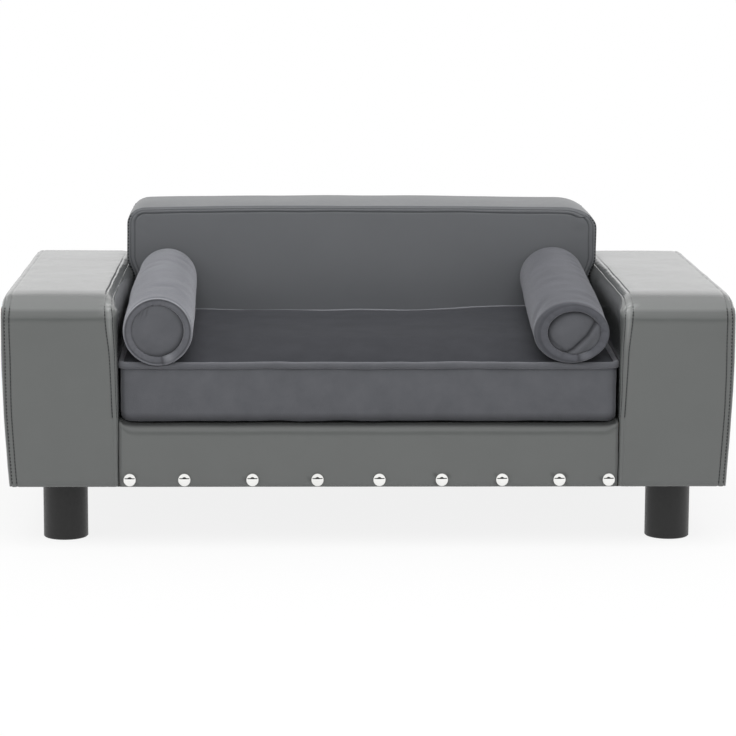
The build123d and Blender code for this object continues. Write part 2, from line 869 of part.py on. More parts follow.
# Bolsters: a fibre core in a sleeve whose ends roll in to a sunken cap
def spun(plane):
    """Turn the sketch just drawn on this plane round the bolster's axis."""
    revolve(axis=Axis(plane.origin, plane.x_dir))


def make_bolster(hand, plane):
    """All the pieces of one bolster."""
    wall = plush_t
    cap_front = bolster_cap_sink
    cap_back = cap_front + wall
    far = bolster_length

    with BuildPart() as core:
        with BuildSketch(plane):
            with BuildLine():
                bolster_outline(wall, bolster_cap_radius)
                Line((wall, bolster_cap_radius), (cap_back, bolster_cap_radius))
                Line((cap_back, bolster_cap_radius), (cap_back, 0))
                Line((cap_back, 0), (far - cap_back, 0))
                Line((far - cap_back, 0), (far - cap_back, bolster_cap_radius))
                Line((far - cap_back, bolster_cap_radius), (far - wall, bolster_cap_radius))
            make_face()
        spun(plane)
    save(core.part, f"{hand}_bolster_core")

    with BuildPart() as sleeve:
        with BuildSketch(plane):
            with BuildLine():
                bolster_outline(0, bolster_cap_radius)
                bolster_outline(wall, bolster_cap_radius)
                Line((0, bolster_cap_radius), (wall, bolster_cap_radius))
                Line((far - wall, bolster_cap_radius), (far, bolster_cap_radius))
            make_face()
        spun(plane)
    save(sleeve.part, f"{hand}_bolster_sleeve")

    for end, start, into in (("front", 0, 1), ("rear", far, -1)):
        rim = start + into * cap_front
        back = start + into * cap_back
        crown = rim - into * bolster_cap_dome
        flat = bolster_cap_radius / 2
        brow = (crown + into * bolster_cap_dome / 3, (flat + bolster_cap_radius) / 2)
        with BuildPart() as cap:
            with BuildSketch(plane):
                with BuildLine():
                    ThreePointArc((rim, bolster_cap_radius), brow, (crown, flat))
                    Line((crown, flat), (crown, 0))
                    Line((crown, 0), (back, 0))
                    Line((back, 0), (back, bolster_cap_radius))
                    Line((back, bolster_cap_radius), (rim, bolster_cap_radius))
                make_face()
            spun(plane)
        save(cap.part, f"{hand}_bolster_{end}_cap")


for bolster_hand, bolster_frame in bolster_planes.items():
    make_bolster(bolster_hand, bolster_frame)
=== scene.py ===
"""Looks for the dog sofa bed: sewn covers, plush cushions, trim and finishes.

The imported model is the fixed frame. Sizes here are millimetres, turned to metres where a mesh
is made, and X is to the right, Y to the rear and Z up, as in the part's own source.
"""

from __future__ import annotations

import json
import logging
import math
from dataclasses import dataclass, field
from enum import Enum

import bpy
import numpy as np
from bpy.types import Material, Node, NodeSocket, NodeTree, Object
from mathutils import Matrix, Vector, noise

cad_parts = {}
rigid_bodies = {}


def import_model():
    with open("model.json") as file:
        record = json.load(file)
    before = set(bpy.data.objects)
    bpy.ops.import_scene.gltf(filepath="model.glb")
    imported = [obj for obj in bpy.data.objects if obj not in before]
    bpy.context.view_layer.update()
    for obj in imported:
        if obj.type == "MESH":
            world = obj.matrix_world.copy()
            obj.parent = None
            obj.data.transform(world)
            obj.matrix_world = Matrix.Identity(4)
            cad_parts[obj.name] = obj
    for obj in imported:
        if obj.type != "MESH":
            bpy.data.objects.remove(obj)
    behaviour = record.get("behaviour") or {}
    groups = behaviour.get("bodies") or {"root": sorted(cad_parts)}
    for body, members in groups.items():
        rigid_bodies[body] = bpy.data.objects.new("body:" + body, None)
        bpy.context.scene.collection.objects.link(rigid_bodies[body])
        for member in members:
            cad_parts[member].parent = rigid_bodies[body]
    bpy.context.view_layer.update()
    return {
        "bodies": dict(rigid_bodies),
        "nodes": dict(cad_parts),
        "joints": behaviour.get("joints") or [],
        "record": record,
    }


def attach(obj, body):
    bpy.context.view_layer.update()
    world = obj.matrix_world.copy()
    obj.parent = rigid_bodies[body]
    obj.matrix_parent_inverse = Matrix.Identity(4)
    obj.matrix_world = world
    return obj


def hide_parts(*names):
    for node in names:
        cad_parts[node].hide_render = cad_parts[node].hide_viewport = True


LOG = logging.getLogger("dog_sofa")
MM = 0.001
# Closer than this, two places are the same
TINY = 1e-6
# Added to a length before something is divided by it
LEAST = 1e-9
# The height that stands for no bolster overhead
FAR_ABOVE = 1e4

Array = np.ndarray
Pair = tuple[float, float]
Triple = tuple[float, float, float]

# Main planes of the sofa, the same as the part's own
FRONT_Y = -225.25
REAR_Y = 229.75
BACK_Y = 111.75
INNER_X = 277.0
HALF_WIDTH = 405.0
ARM_TOP = 281.0
BACK_TOP = 350.0
HEM_Z = 68.8
RAIL_TOP = 141.0
RAIL_DEPTH = 45.0
NAIL_Z = 78.0
NAIL_PLACES_SHARE = (0.022, 0.131, 0.267, 0.397, 0.521, 0.646, 0.767, 0.882, 0.981)
NAIL_XS = tuple(INNER_X * (2 * share - 1) for share in NAIL_PLACES_SHARE)


class Hand(Enum):
    """The two sides of the sofa, as someone facing it sees them."""

    LEFT = "left"
    RIGHT = "right"


# ---------------------------------------------------------------- small helpers


def srgb(code: str) -> tuple[float, float, float, float]:
    """Turn an sRGB hex colour into the linear colour that nodes take.

    Args:
        code: The colour as "#rrggbb".

    Returns:
        Red, green, blue and alpha, linear.
    """
    parts = [int(code[i : i + 2], 16) / 255 for i in (1, 3, 5)]
    linear = [c / 12.92 if c <= 0.04045 else ((c + 0.055) / 1.055) ** 2.4 for c in parts]
    return (linear[0], linear[1], linear[2], 1.0)


def fill_inputs(tree: NodeTree, node: Node, inputs: dict) -> None:
    """Fill or link the inputs of a node.

    Args:
        tree: Its node tree.
        node: The node.
        inputs: Input name or index to a value, or to an output socket to link.
    """
    for key, value in inputs.items():
        if isinstance(value, NodeSocket):
            tree.links.new(value, node.inputs[key])
        else:
            node.inputs[key].default_value = value


def add_node(tree: NodeTree, kind: str, inputs: dict | None = None, **settings: object) -> Node:
    """Add one node, set its properties and fill or link its inputs.

    Args:
        tree: The node tree that the node goes into.
        kind: The node's type name.
        inputs: What fill_inputs takes.
        **settings: Properties of the node itself.

    Returns:
        The new node.
    """
    node = tree.nodes.new(kind)
    for name, value in settings.items():
        setattr(node, name, value)
    fill_inputs(tree, node, inputs or {})
    return node


def ramp(tree: NodeTree, value: NodeSocket, start: Pair, to: Pair = (0.0, 1.0)) -> NodeSocket:
    """Turn a value from one range to another, held at both ends.

    Args:
        tree: The node tree.
        value: The value's socket.
        start: The range that it comes in.
        to: The range that it goes to.

    Returns:
        The new value's socket.
    """
    ends = {"From Min": start[0], "From Max": start[1], "To Min": to[0], "To Max": to[1]}
    return add_node(tree, "ShaderNodeMapRange", {"Value": value, **ends}).outputs["Result"]


def calculate(tree: NodeTree, operation: str, *values: NodeSocket | float) -> NodeSocket:
    """Put one or two values through a math node and return its result."""
    given = dict(enumerate(values))
    return add_node(tree, "ShaderNodeMath", given, operation=operation).outputs["Value"]


def smooth(x: Array | float) -> Array:
    """Ease from 0 to 1 as x goes from 0 to 1."""
    x = np.clip(x, 0.0, 1.0)
    return x * x * (3 - 2 * x)


def hill(x: Array, middle: float, width: float) -> Array:
    """Rise softly to 1 at the middle, and fall off over about the width on either side."""
    return np.exp(-(((x - middle) / width) ** 2))


def swell(points: Array, wavelength: float, seed: float) -> Array:
    """Smooth random heights at the points.

    Args:
        points: Points in millimetres.
        wavelength: Size of one swell in millimetres.
        seed: Shifts the pattern.

    Returns:
        One height for each point, about -1 to 1.
    """
    shift = Vector((seed * 7.13, seed * 3.71, seed * 5.39))
    return np.array([noise.noise(Vector(p) / wavelength + shift) * 1.6 for p in points.tolist()])


@dataclass(frozen=True)
class Swell:
    """Smooth random heights of one size: how wide, how high and how their pattern is shifted."""

    width: float
    height: float = 1.0
    shift: float = 0.0

    def over(self, points: Array, seed: float) -> Array:
        """The heights at the points, for a piece's own seed."""
        return swell(points, self.width, seed + self.shift) * self.height


def make_object(name: str, points: Array, faces: list, finish: Material | None = None) -> Object:
    """Make a smooth-shaded object from points in millimetres.

    Args:
        name: The object's name.
        points: Vertex places in millimetres.
        faces: Vertex indices of each face.
        finish: The material, if it has one yet.

    Returns:
        The new object, linked to the scene.
    """
    mesh = bpy.data.meshes.new(name)
    mesh.from_pydata((np.asarray(points) * MM).tolist(), [], faces)
    mesh.update()
    mesh.polygons.foreach_set("use_smooth", [True] * len(mesh.polygons))
    made = bpy.data.objects.new(name, mesh)
    bpy.context.scene.collection.objects.link(made)
    if finish:
        mesh.materials.append(finish)
    return made


def mark(piece: Object, name: str, values: Array) -> None:
    """Keep a value on each vertex for the material.

    Args:
        piece: The piece.
        name: The attribute's name, as the material reads it.
        values: One value for each vertex.
    """
    layer = piece.data.attributes.new(name, "FLOAT", "POINT")
    layer.data.foreach_set("value", values.astype(np.float32))


def face_outwards(points: Array, faces: list) -> list:
    """Give a closed shell's faces the order that points them outwards."""
    p = np.asarray(points)
    corners = np.array([f[:3] for f in faces])
    tail = np.array([(f[0], f[2], f[-1]) for f in faces])
    volume = 0.0
    for tri in (corners, tail):
        volume += np.einsum("ij,ij->i", p[tri[:, 0]], np.cross(p[tri[:, 1]], p[tri[:, 2]])).sum()
    return faces if volume > 0 else [tuple(reversed(f)) for f in faces]


def ring_faces(rows: int, columns: int) -> list:
    """Quads between rows of closed rings of points.

    Args:
        rows: How many rings.
        columns: Points in each ring.

    Returns:
        The faces' vertex indices.
    """
    faces = []
    for r in range(rows - 1):
        a, b = r * columns, (r + 1) * columns
        for c in range(columns):
            n = (c + 1) % columns
            faces.append((a + c, a + n, b + n, b + c))
    return faces


def end_faces(rows: int, columns: int) -> list:
    """The two faces that close the first and the last of some rows of rings."""
    last = (rows - 1) * columns
    return [tuple(range(columns)), tuple(range(last, last + columns))[::-1]]


# ---------------------------------------------------------------- finishes


@dataclass
class Surface:
    """One material as it is made: its tree, its shader and its object coordinates."""

    material: Material
    tree: NodeTree
    shader: Node
    place: NodeSocket

    @classmethod
    def start(cls, name: str) -> Surface:
        """Make a material that has only its shader and coordinates."""
        material = bpy.data.materials.new(name)
        material.use_nodes = True
        tree = material.node_tree
        place = add_node(tree, "ShaderNodeTexCoord").outputs["Object"]
        return cls(material, tree, tree.nodes["Principled BSDF"], place)

    def patches(self, size_mm: float, **inputs: float | NodeSocket) -> NodeSocket:
        """Soft random patches of about a size."""
        given = {"Vector": self.place, "Scale": 1 / (size_mm * MM), **inputs}
        return add_node(self.tree, "ShaderNodeTexNoise", given).outputs["Fac"]

    def cells(self, size_mm: float, randomness: float, **settings: str) -> NodeSocket:
        """Distance from the middles of small cells of about a size."""
        given = {"Vector": self.place, "Scale": 1 / (size_mm * MM), "Randomness": randomness}
        return add_node(self.tree, "ShaderNodeTexVoronoi", given, **settings).outputs["Distance"]

    def marked(self, name: str) -> NodeSocket:
        """The value that a piece keeps on its vertices under a name."""
        return add_node(self.tree, "ShaderNodeAttribute", attribute_name=name).outputs["Fac"]

    def scaled(self, colour: NodeSocket | Triple, share: NodeSocket) -> NodeSocket:
        """A colour made darker or lighter by a share."""
        given = {0: colour, "Scale": share}
        node = add_node(self.tree, "ShaderNodeVectorMath", given, operation="SCALE")
        return node.outputs["Vector"]

    def mottled(self, colour: str, size_mm: float, depth: float) -> NodeSocket:
        """A colour, lighter and darker in soft patches.

        Args:
            colour: The colour as "#rrggbb".
            size_mm: Size of one patch.
            depth: How far the patches leave the colour, as a share.

        Returns:
            The colour's output socket.
        """
        patches = self.patches(size_mm, Detail=3.0, Roughness=0.6)
        level = ramp(self.tree, patches, (0.25, 0.75), (1 - depth, 1 + depth))
        return self.scaled(srgb(colour)[:3], level)

    def creased(self, tone: NodeSocket, darkest: float) -> NodeSocket:
        """The tone, darkened to a share where the piece marks sewn lines and painted shade."""
        shade = ramp(self.tree, self.marked("seam_and_painted_shade"), (0.0, 1.0), (1.0, darkest))
        return self.scaled(tone, shade)

    def paled(self, tone: NodeSocket, name: str, colour: str) -> NodeSocket:
        """The tone, gone to another colour where the piece marks it."""
        given = {"Factor": self.marked(name), 6: tone, 7: srgb(colour)}
        return add_node(self.tree, "ShaderNodeMix", given, data_type="RGBA").outputs[2]

    def raised(self, height: NodeSocket, strength: float, distance: float) -> NodeSocket:
        """The surface's direction once a height is pressed into it."""
        given = {"Height": height, "Strength": strength, "Distance": distance}
        return add_node(self.tree, "ShaderNodeBump", given).outputs["Normal"]

    def finished(self, inputs: dict) -> Material:
        """Fill or link the shader's inputs and hand over the material."""
        fill_inputs(self.tree, self.shader, inputs)
        return self.material


@dataclass(frozen=True)
class Finish:
    """One finish of the sofa: what its surface is made of."""

    name: str
    colour: str


@dataclass(frozen=True)
class LeatherFinish(Finish):
    """Polyurethane faux leather: an embossed film on cloth, satin, so flat tops catch the room."""

    roughness: float = 0.25
    coat: float = 0.6
    grain_mm: float = 1.4
    painted_highlight_colour: str = "#a9abaa"

    def build(self) -> Material:
        """Make the material: fine pebble grain, soft patches and darker sewn lines."""
        surface = Surface.start(self.name)
        # The sewn lines are creased and hold a dark thread, so the piece marks them; the same mark
        # also carries painted shade by the nails and under the cushion's edge
        tone = surface.creased(surface.mottled(self.colour, 90, 0.035), 0.34)
        # Real grain is about 0.6 mm, too fine to show, so it is drawn at 1.4 mm
        pebbles = surface.cells(self.grain_mm, 0.9, feature="SMOOTH_F1")
        pores = surface.patches(9, Detail=4.0, Roughness=0.65)
        height = calculate(surface.tree, "ADD", pebbles, pores)
        worn = (self.roughness - 0.015, self.roughness + 0.02)
        return surface.finished({
            # Painted highlight: where the piece marks it, the colour goes pale, at the arms' inner
            # front corners, between their twin seams and over the front's turn
            "Base Color": surface.paled(tone, "stretched", self.painted_highlight_colour),
            "Roughness": ramp(surface.tree, pores, (0.3, 0.7), worn),
            "Normal": surface.raised(height, 0.006, 0.0004),
            "IOR": 1.45,
            # The film's clear finish coat: flat tops seen from low down turn pale
            "Coat Weight": self.coat,
            "Coat IOR": 1.36,
            "Coat Roughness": 0.16,
        })


@dataclass(frozen=True)
class PlushFinish(Finish):
    """Short-pile polyester plush: knitted pile, brushed, paler where it is seen side on."""

    sheen: float = 0.5
    patch_depth: float = 0.1
    painted_crest_highlight_colour: str = "#a2a3a8"

    def build(self) -> Material:
        """Make the material: brushed patches, fine fibres and a soft sheen."""
        surface = Surface.start(self.name)
        # The piece's mark darkens sewn lines and paints shade in grooves, creases and under the
        # cushion's foot
        tone = surface.creased(surface.mottled(self.colour, 28, self.patch_depth), 0.45)
        # Pile fibres are about 0.1 mm, too fine to show, so their tufts are drawn at 1.1 mm
        tufts = surface.patches(1.1, Detail=2.0, Roughness=0.7)
        brushed = surface.patches(12, Detail=2.0, Distortion=0.6)
        height = calculate(surface.tree, "ADD", tufts, brushed)
        return surface.finished({
            # Painted highlight: where the piece marks it, the pile's colour goes pale, on the
            # welt's top and the bolsters' crests
            "Base Color": surface.paled(tone, "raised", self.painted_crest_highlight_colour),
            "Normal": surface.raised(height, 0.35, 0.0009),
            "Roughness": 0.92,
            "Specular IOR Level": 0.15,
            "Sheen Weight": self.sheen,
            "Sheen Roughness": 0.45,
            "Sheen Tint": srgb("#c9cad0"),
        })


@dataclass(frozen=True)
class HardFinish(Finish):
    """A hard surface: moulded plastic, plated steel or a zinc casting."""

    roughness: float = 0.5
    metallic: float = 0.0
    speck_mm: float = 3.0
    bump: float = 0.05

    def build(self) -> Material:
        """Make the material: even colour with the fine unevenness of its making."""
        surface = Surface.start(self.name)
        specks = surface.patches(self.speck_mm, Detail=3.0)
        worn = (self.roughness * 0.85, self.roughness * 1.15)
        return surface.finished({
            "Base Color": surface.mottled(self.colour, 25, 0.06),
            "Roughness": ramp(surface.tree, specks, (0.3, 0.7), worn),
            "Normal": surface.raised(specks, self.bump, 0.0002),
            "Metallic": self.metallic,
        })


@dataclass(frozen=True)
class WoodFinish(Finish):
    """Unfinished wood or board, sawn and planed: long grain bands along one axis."""

    grain_mm: float = 7.0
    stretch: Triple = (0.12, 1.0, 1.0)
    contrast: float = 0.22

    def build(self) -> Material:
        """Make the material: grain drawn out along the board, with pores in the bump."""
        surface = Surface.start(self.name)
        along = {"Vector": surface.place, "Scale": self.stretch}
        drawn = add_node(surface.tree, "ShaderNodeMapping", along).outputs["Vector"]
        grain = surface.patches(self.grain_mm, Vector=drawn, Detail=6.0, Distortion=0.8)
        level = ramp(surface.tree, grain, (0.3, 0.7), (1 - self.contrast, 1 + self.contrast * 0.5))
        return surface.finished({
            "Base Color": surface.scaled(srgb(self.colour)[:3], level),
            "Normal": surface.raised(grain, 0.2, 0.0004),
            "Roughness": 0.7,
        })


@dataclass(frozen=True)
class ClothFinish(Finish):
    """Foam, felt, fibre or spunbond cloth: matt, with cells or bond dots at a real spacing."""

    cell_mm: float = 2.0
    depth: float = 0.15
    bump: float = 0.4

    def build(self) -> Material:
        """Make the material: cells that shade the colour and raise the surface."""
        surface = Surface.start(self.name)
        cells = surface.cells(self.cell_mm, 0.6)
        level = ramp(surface.tree, cells, (0.0, 0.8), (1 + self.depth, 1 - self.depth))
        return surface.finished({
            "Base Color": surface.scaled(srgb(self.colour)[:3], level),
            "Normal": surface.raised(cells, self.bump, 0.0005),
            "Roughness": 0.9,
            "Specular IOR Level": 0.2,
        })


class Palette:
    """Every finish of the sofa, made once."""

    def __init__(self) -> None:
        """Make the materials."""
        finishes = {
            "faux_leather": LeatherFinish("embossed_faux_leather", "#5a5c5b"),
            # A copy of the leather for the backrest with a painted cool shade, uncoated and rougher
            "faux_leather_cool": LeatherFinish(
                "embossed_faux_leather_painted_cool_shade", "#646669", roughness=0.36, coat=0.0
            ),
            "plush": PlushFinish("brushed_plush", "#56575b"),
            # The seat top: nap laid back with little sheen, and painted darker as shade
            "plush_flat": PlushFinish("brushed_plush_laid_back_painted_shade", "#3d3e42", sheen=0.08),
            # Lit and shaded copies for the bolsters: the left sleeve painted lighter, the right
            # painted darker
            "plush_lit": PlushFinish("brushed_plush_painted_lit", "#626368", sheen=0.8),
            "plush_dull": PlushFinish("brushed_plush_painted_shade", "#515257", sheen=0.5),
            # Injection-moulded polypropylene: black, matt from a spark-eroded mould
            "leg_plastic": HardFinish("moulded_black_plastic", "#161616", roughness=0.42),
            # Bright chrome plating over a pressed steel head
            "nail_chrome": HardFinish(
                "bright_chrome_plate", "#f2f2f0", roughness=0.04, metallic=1.0, bump=0.0
            ),
            "zinc_steel": HardFinish("zinc_plated_steel", "#b4b6b8", roughness=0.35, metallic=1.0),
            "zip_metal": HardFinish("dark_nickel_casting", "#8a8b8e", roughness=0.3, metallic=1.0),
            "zip_nylon": HardFinish("nylon_coil", "#3a3b3e", roughness=0.45),
            "thread": ClothFinish("bonded_polyester_thread", "#202122"),
            "foam": ClothFinish("open_cell_foam", "#e3dfd3", cell_mm=1.2),
            "fibre_fill": ClothFinish("polyester_fibre", "#eeeeee", cell_mm=5.0),
            # Poplar plywood, rotary cut: broad, low grain
            "plywood": WoodFinish("poplar_plywood", "#c9a57a", grain_mm=14, contrast=0.12),
            "pine": WoodFinish("planed_pine", "#d3ab74", grain_mm=6, contrast=0.25),
            "hardboard": WoodFinish(
                "brown_hardboard", "#7a5a40", grain_mm=3, stretch=(1, 1, 1), contrast=0.12
            ),
            "nonwoven": ClothFinish("black_spunbond", "#222223", cell_mm=1.8, depth=0.3),
            "felt": ClothFinish("pressed_felt", "#3c3c3c", cell_mm=0.9),
        }
        self.made = {slot: finish.build() for slot, finish in finishes.items()}

    def __getitem__(self, slot: str) -> Material:
        """The material for a slot."""
        return self.made[slot]


# ---------------------------------------------------------------- sewn blocks


def knots(low: float, high: float, step: float, lines: tuple[float, ...] = ()) -> Array:
    """Places of the grid lines between two ends, closer together at sewn lines.

    Args:
        low: The first place.
        high: The last place.
        step: The spacing away from sewn lines.
        lines: Places of sewn lines.

    Returns:
        Rising places in millimetres.
    """
    beside_line = (-2.6, -1.3, -0.65, 0.0, 0.65, 1.3, 2.6)
    least_gap = 0.35
    wanted = [low, high] + [line + off for line in lines for off in beside_line]
    kept: list[float] = []
    for x in sorted(x for x in wanted if low <= x <= high):
        if not kept or x - kept[-1] > least_gap:
            kept.append(x)
    if high - kept[-1] > TINY:
        kept[-1] = high
    count = max(2, round((high - low) / step) + 1)
    for x in np.linspace(low, high, count).tolist():
        if min(abs(x - k) for k in kept) > step * 0.45:
            kept.append(x)
    return np.array(sorted(kept))


@dataclass(frozen=True)
class SewnLine:
    """A line of stitching right round a block.

    Its place is measured across the unfolded cover: below zero on the low face, then across
    the band, and past the band's width on the high face.
    """

    place: float
    depth: float = 0.7
    darkness: float = 1.0
    groove_width: float = 0.9
    shade_width: float = 0.62
    # The low swells beside the groove: their height as a share of its depth, place and width
    swell_share: float = 0.14
    swell_off: float = 3.2
    swell_width: float = 2.0

    def height(self, off: Array) -> Array:
        """Height of the cover at a distance from the line: a groove between two low swells."""
        beside = self.swell_share * hill(off, self.swell_off, self.swell_width)
        return self.depth * (beside - hill(off, 0.0, self.groove_width))

    def shade(self, off: Array) -> Array:
        """How dark the line shows at a distance from it."""
        return self.darkness * hill(off, 0.0, self.shade_width)


@dataclass(frozen=True)
class Rim:
    """Places round a block's outline, and which way the band faces at each."""

    u: Array
    v: Array
    n_u: Array
    n_v: Array

    def radius(self, top: float, side: float | Array, foot: float = 3.0) -> Array:
        """An edge radius that differs along the top, down the sides and along the foot."""
        return np.where(self.n_v < 0, foot, top) * self.n_v**2 + side * self.n_u**2


@dataclass
class SewnBlock:
    """A box of foam in a sewn cover: two faces joined by a band, with every edge rounded.

    The outline lies in the u and v axes and the band's width along w. axes says which world
    axis each one is. radii are those of the edges at the low and the high face.
    """

    name: str
    low: Triple
    high: Triple
    axes: tuple[int, int, int]
    corners: dict[tuple[int, int], Pair]
    lines: tuple[SewnLine, ...] = ()
    radii: Pair = (6.0, 6.0)
    step: float = 4.5
    seed: float = 1.0
    wander: float = 0.0
    thread_stand: float = 0.05
    mirrored: bool = False

    def rim_low(self, rim: Rim) -> Array:
        """Radius of the edge between the low face and the band, by the way the band faces."""
        return np.full_like(rim.u, self.radii[0])

    def rim_high(self, rim: Rim) -> Array:
        """Radius of the edge between the high face and the band."""
        return np.full_like(rim.u, self.radii[1])

    def across(self, u: Array, v: Array, w: Array) -> Array:
        """Move places across the band before the edges are rounded."""
        return w

    def form(self, p: Array, normal: Array, t: Array) -> Array:
        """Crown, draw in and wrinkle the rounded block, in world millimetres."""
        return p

    def stretch(self, p: Array, t: Array) -> Array:
        """How much painted highlight the cover gets at each point, from 0 to 1."""
        return np.zeros(len(p))

    def fade(self, sewn: Array, sharp: Array) -> Array:
        """Where the sewn lines stop showing."""
        return sewn

    def stray(self, sharp: Array) -> Array:
        """How far the sewn lines wander from straight beside each point of the sharp box."""
        (u0, v0, _), (u1, v1, _) = self.low, self.high
        u, v = sharp[:, 0], sharp[:, 1]
        past = (u1 - u) < np.minimum(v1 - v, u - u0)
        run = np.where(past, (u1 - u0) + (v1 - v0) + (v1 - v), (u - u0) + (v - v0))
        path = np.stack([run, np.full_like(run, self.seed * 31), np.zeros_like(run)], 1)
        return self.wander * (swell(path, 48, 0.5) * 0.6 + swell(path, 150, 1.5) * 0.5)

    def round_outline(self, rim: Rim) -> Rim:
        """Round the outline's corners, each with two radii of its own."""
        u, v, n_u, n_v = rim.u, rim.v, rim.n_u, rim.n_v
        (u0, v0, _), (u1, v1, _) = self.low, self.high
        for (s_u, s_v), (r_u, r_v) in self.corners.items():
            q_u = (r_u - (u - u0 if s_u < 0 else u1 - u)) / r_u
            q_v = (r_v - (v - v0 if s_v < 0 else v1 - v)) / r_v
            hit = (q_u > 0) & (q_v > 0)
            share = np.maximum(q_u, q_v) / (np.hypot(q_u, q_v) + LEAST)
            edge_u, edge_v = (u0 if s_u < 0 else u1), (v0 if s_v < 0 else v1)
            u = np.where(hit, edge_u - s_u * r_u * (1 - q_u * share), u)
            v = np.where(hit, edge_v - s_v * r_v * (1 - q_v * share), v)
            slope = np.hypot(q_u / r_u, q_v / r_v) + LEAST
            n_u = np.where(hit, s_u * q_u / r_u / slope, n_u)
            n_v = np.where(hit, s_v * q_v / r_v / slope, n_v)
        return Rim(u, v, n_u, n_v)

    def round_edges(self, rim: Rim, w: Array, inset: Array) -> tuple[Array, Array]:
        """Round the edges between both faces and the band.

        Args:
            rim: Where each point lies round the rounded outline.
            w: Its place across the band.
            inset: How far it lies in from the outline.

        Returns:
            Points as u, v, w and their normals the same way.
        """
        w0, w1 = self.low[2], self.high[2]
        out = np.where(inset < TINY, 1.0, 0.0)
        along = np.where(w - w0 < TINY, -1.0, np.where(w1 - w < TINY, 1.0, 0.0))
        along = np.where(out > 0, 0.0, along)
        moved = np.zeros_like(inset)
        for sign, radius in ((-1.0, self.rim_low(rim)), (1.0, self.rim_high(rim))):
            depth = w - w0 if sign < 0 else w1 - w
            q_d, q_w = radius - inset, radius - depth
            hit = (q_d > 0) & (q_w > 0)
            longest = np.hypot(q_d, q_w) + LEAST
            share = np.maximum(q_d, q_w) / longest
            moved = np.where(hit, radius - q_d * share - inset, moved)
            new_depth = radius - q_w * share
            w = np.where(hit, w0 + new_depth if sign < 0 else w1 - new_depth, w)
            out = np.where(hit, q_d / longest, out)
            along = np.where(hit, sign * q_w / longest, along)
        local = np.stack([rim.u - rim.n_u * moved, rim.v - rim.n_v * moved, w], 1)
        return local, np.stack([rim.n_u * out, rim.n_v * out, along], 1)

    def surface(self, sharp: Array) -> tuple[Array, Array, Array, Array]:
        """Map points of the sharp box onto the sewn form.

        Args:
            sharp: Points on the box's surface, as u, v, w.

        Returns:
            World points, outward normals, and each point's seam-and-shade darkness and painted
            highlight.
        """
        u, v, w = sharp.astype(float).T
        (u0, v0, w0), (u1, v1, w1) = self.low, self.high
        gaps = np.stack([u - u0, u1 - u, v - v0, v1 - v])
        nearest, inset = gaps.argmin(0), gaps.min(0)
        n_u = np.choose(nearest, [-1.0, 1.0, 0.0, 0.0])
        n_v = np.choose(nearest, [0.0, 0.0, -1.0, 1.0])
        # t runs across the unfolded cover, as a sewn line's place does
        t = np.where(w - w0 < TINY, -inset, np.where(w1 - w < TINY, w1 - w0 + inset, w - w0))
        rim = self.round_outline(Rim(u, v, n_u, n_v))
        local, local_normal = self.round_edges(rim, self.across(u, v, w), inset)
        p, normal = np.empty_like(local), np.empty_like(local)
        p[:, self.axes] = local
        normal[:, self.axes] = local_normal
        sewn, stray = np.zeros(len(p)), self.stray(sharp)
        for line in self.lines:
            off = np.abs(t - line.place - stray)
            p += normal * line.height(off)[:, None]
            sewn = np.maximum(sewn, line.shade(off))
        p = self.form(p, normal, t)
        pale = self.stretch(p, t)
        if self.mirrored:
            p[:, 0] *= -1
            normal[:, 0] *= -1
        return p, normal, self.fade(sewn, sharp), pale

    def grid(self) -> tuple[Array, list]:
        """Points on the sharp box and the faces between them."""
        width = self.high[2] - self.low[2]
        insets = [-line.place for line in self.lines if line.place < 0]
        insets += [line.place - width for line in self.lines if line.place > width]
        band = tuple(self.low[2] + line.place for line in self.lines if 0 < line.place < width)
        ends = list(zip(self.low, self.high))
        sewn = [tuple(x for i in insets for x in (low + i, high - i)) for low, high in ends[:2]]
        places = [knots(low, high, self.step, at) for (low, high), at in zip(ends, [*sewn, band])]
        on = np.zeros([len(k) for k in places], bool)
        on[[0, -1]] = on[:, [0, -1]] = on[:, :, [0, -1]] = True
        index = -np.ones(on.shape, int)
        index[on] = np.arange(on.sum())
        sharp = np.stack([k[i] for k, i in zip(places, np.nonzero(on))], 1)
        faces: list = []
        for side in (
            index[0], index[-1][:, ::-1], index[:, 0][::-1], index[:, -1],
            index[:, :, 0], index[:, :, -1][:, ::-1],
        ):
            quads = np.stack([side[:-1, :-1], side[:-1, 1:], side[1:, 1:], side[1:, :-1]], -1)
            faces += [tuple(q) for q in quads.reshape(-1, 4).tolist()]
        return sharp, faces

    def build(self, finish: Material) -> Object:
        """Make the cover's mesh.

        Args:
            finish: Its material.

        Returns:
            The finished object.
        """
        sharp, faces = self.grid()
        points, _, sewn, pale = self.surface(sharp)
        made = make_object(self.name, points, face_outwards(points, faces), finish)
        # The first mark darkens sewn lines and paints shade; the second is painted highlight
        mark(made, "seam_and_painted_shade", sewn)
        mark(made, "stretched", pale)
        return made

    def run(self, place: float, foot: float = 6.0, step: float = 3.0) -> Array:
        """Points along a sewn line, up the front and down the rear, short of the top.

        Args:
            place: The line's place across the unfolded cover.
            foot: How far above the hem it starts and ends.
            step: Spacing of the points.

        Returns:
            World points, lying just proud of the cover.
        """
        (u0, v0, w0), (u1, v1, w1) = self.low, self.high
        up = np.arange(v0 + foot, v1, step)
        outline = np.array([(u0, v, w0) for v in up] + [(u1, v, w0) for v in up[::-1]])
        at = place + self.stray(outline)
        inset = np.maximum(0.0, np.maximum(-at, at - (w1 - w0)))
        outline[:, 2] = w0 + np.clip(at, 0, w1 - w0)
        points, normal, _, _ = self.surface(outline[outline[:, 1] < v1 - inset])
        return points + normal * self.thread_stand


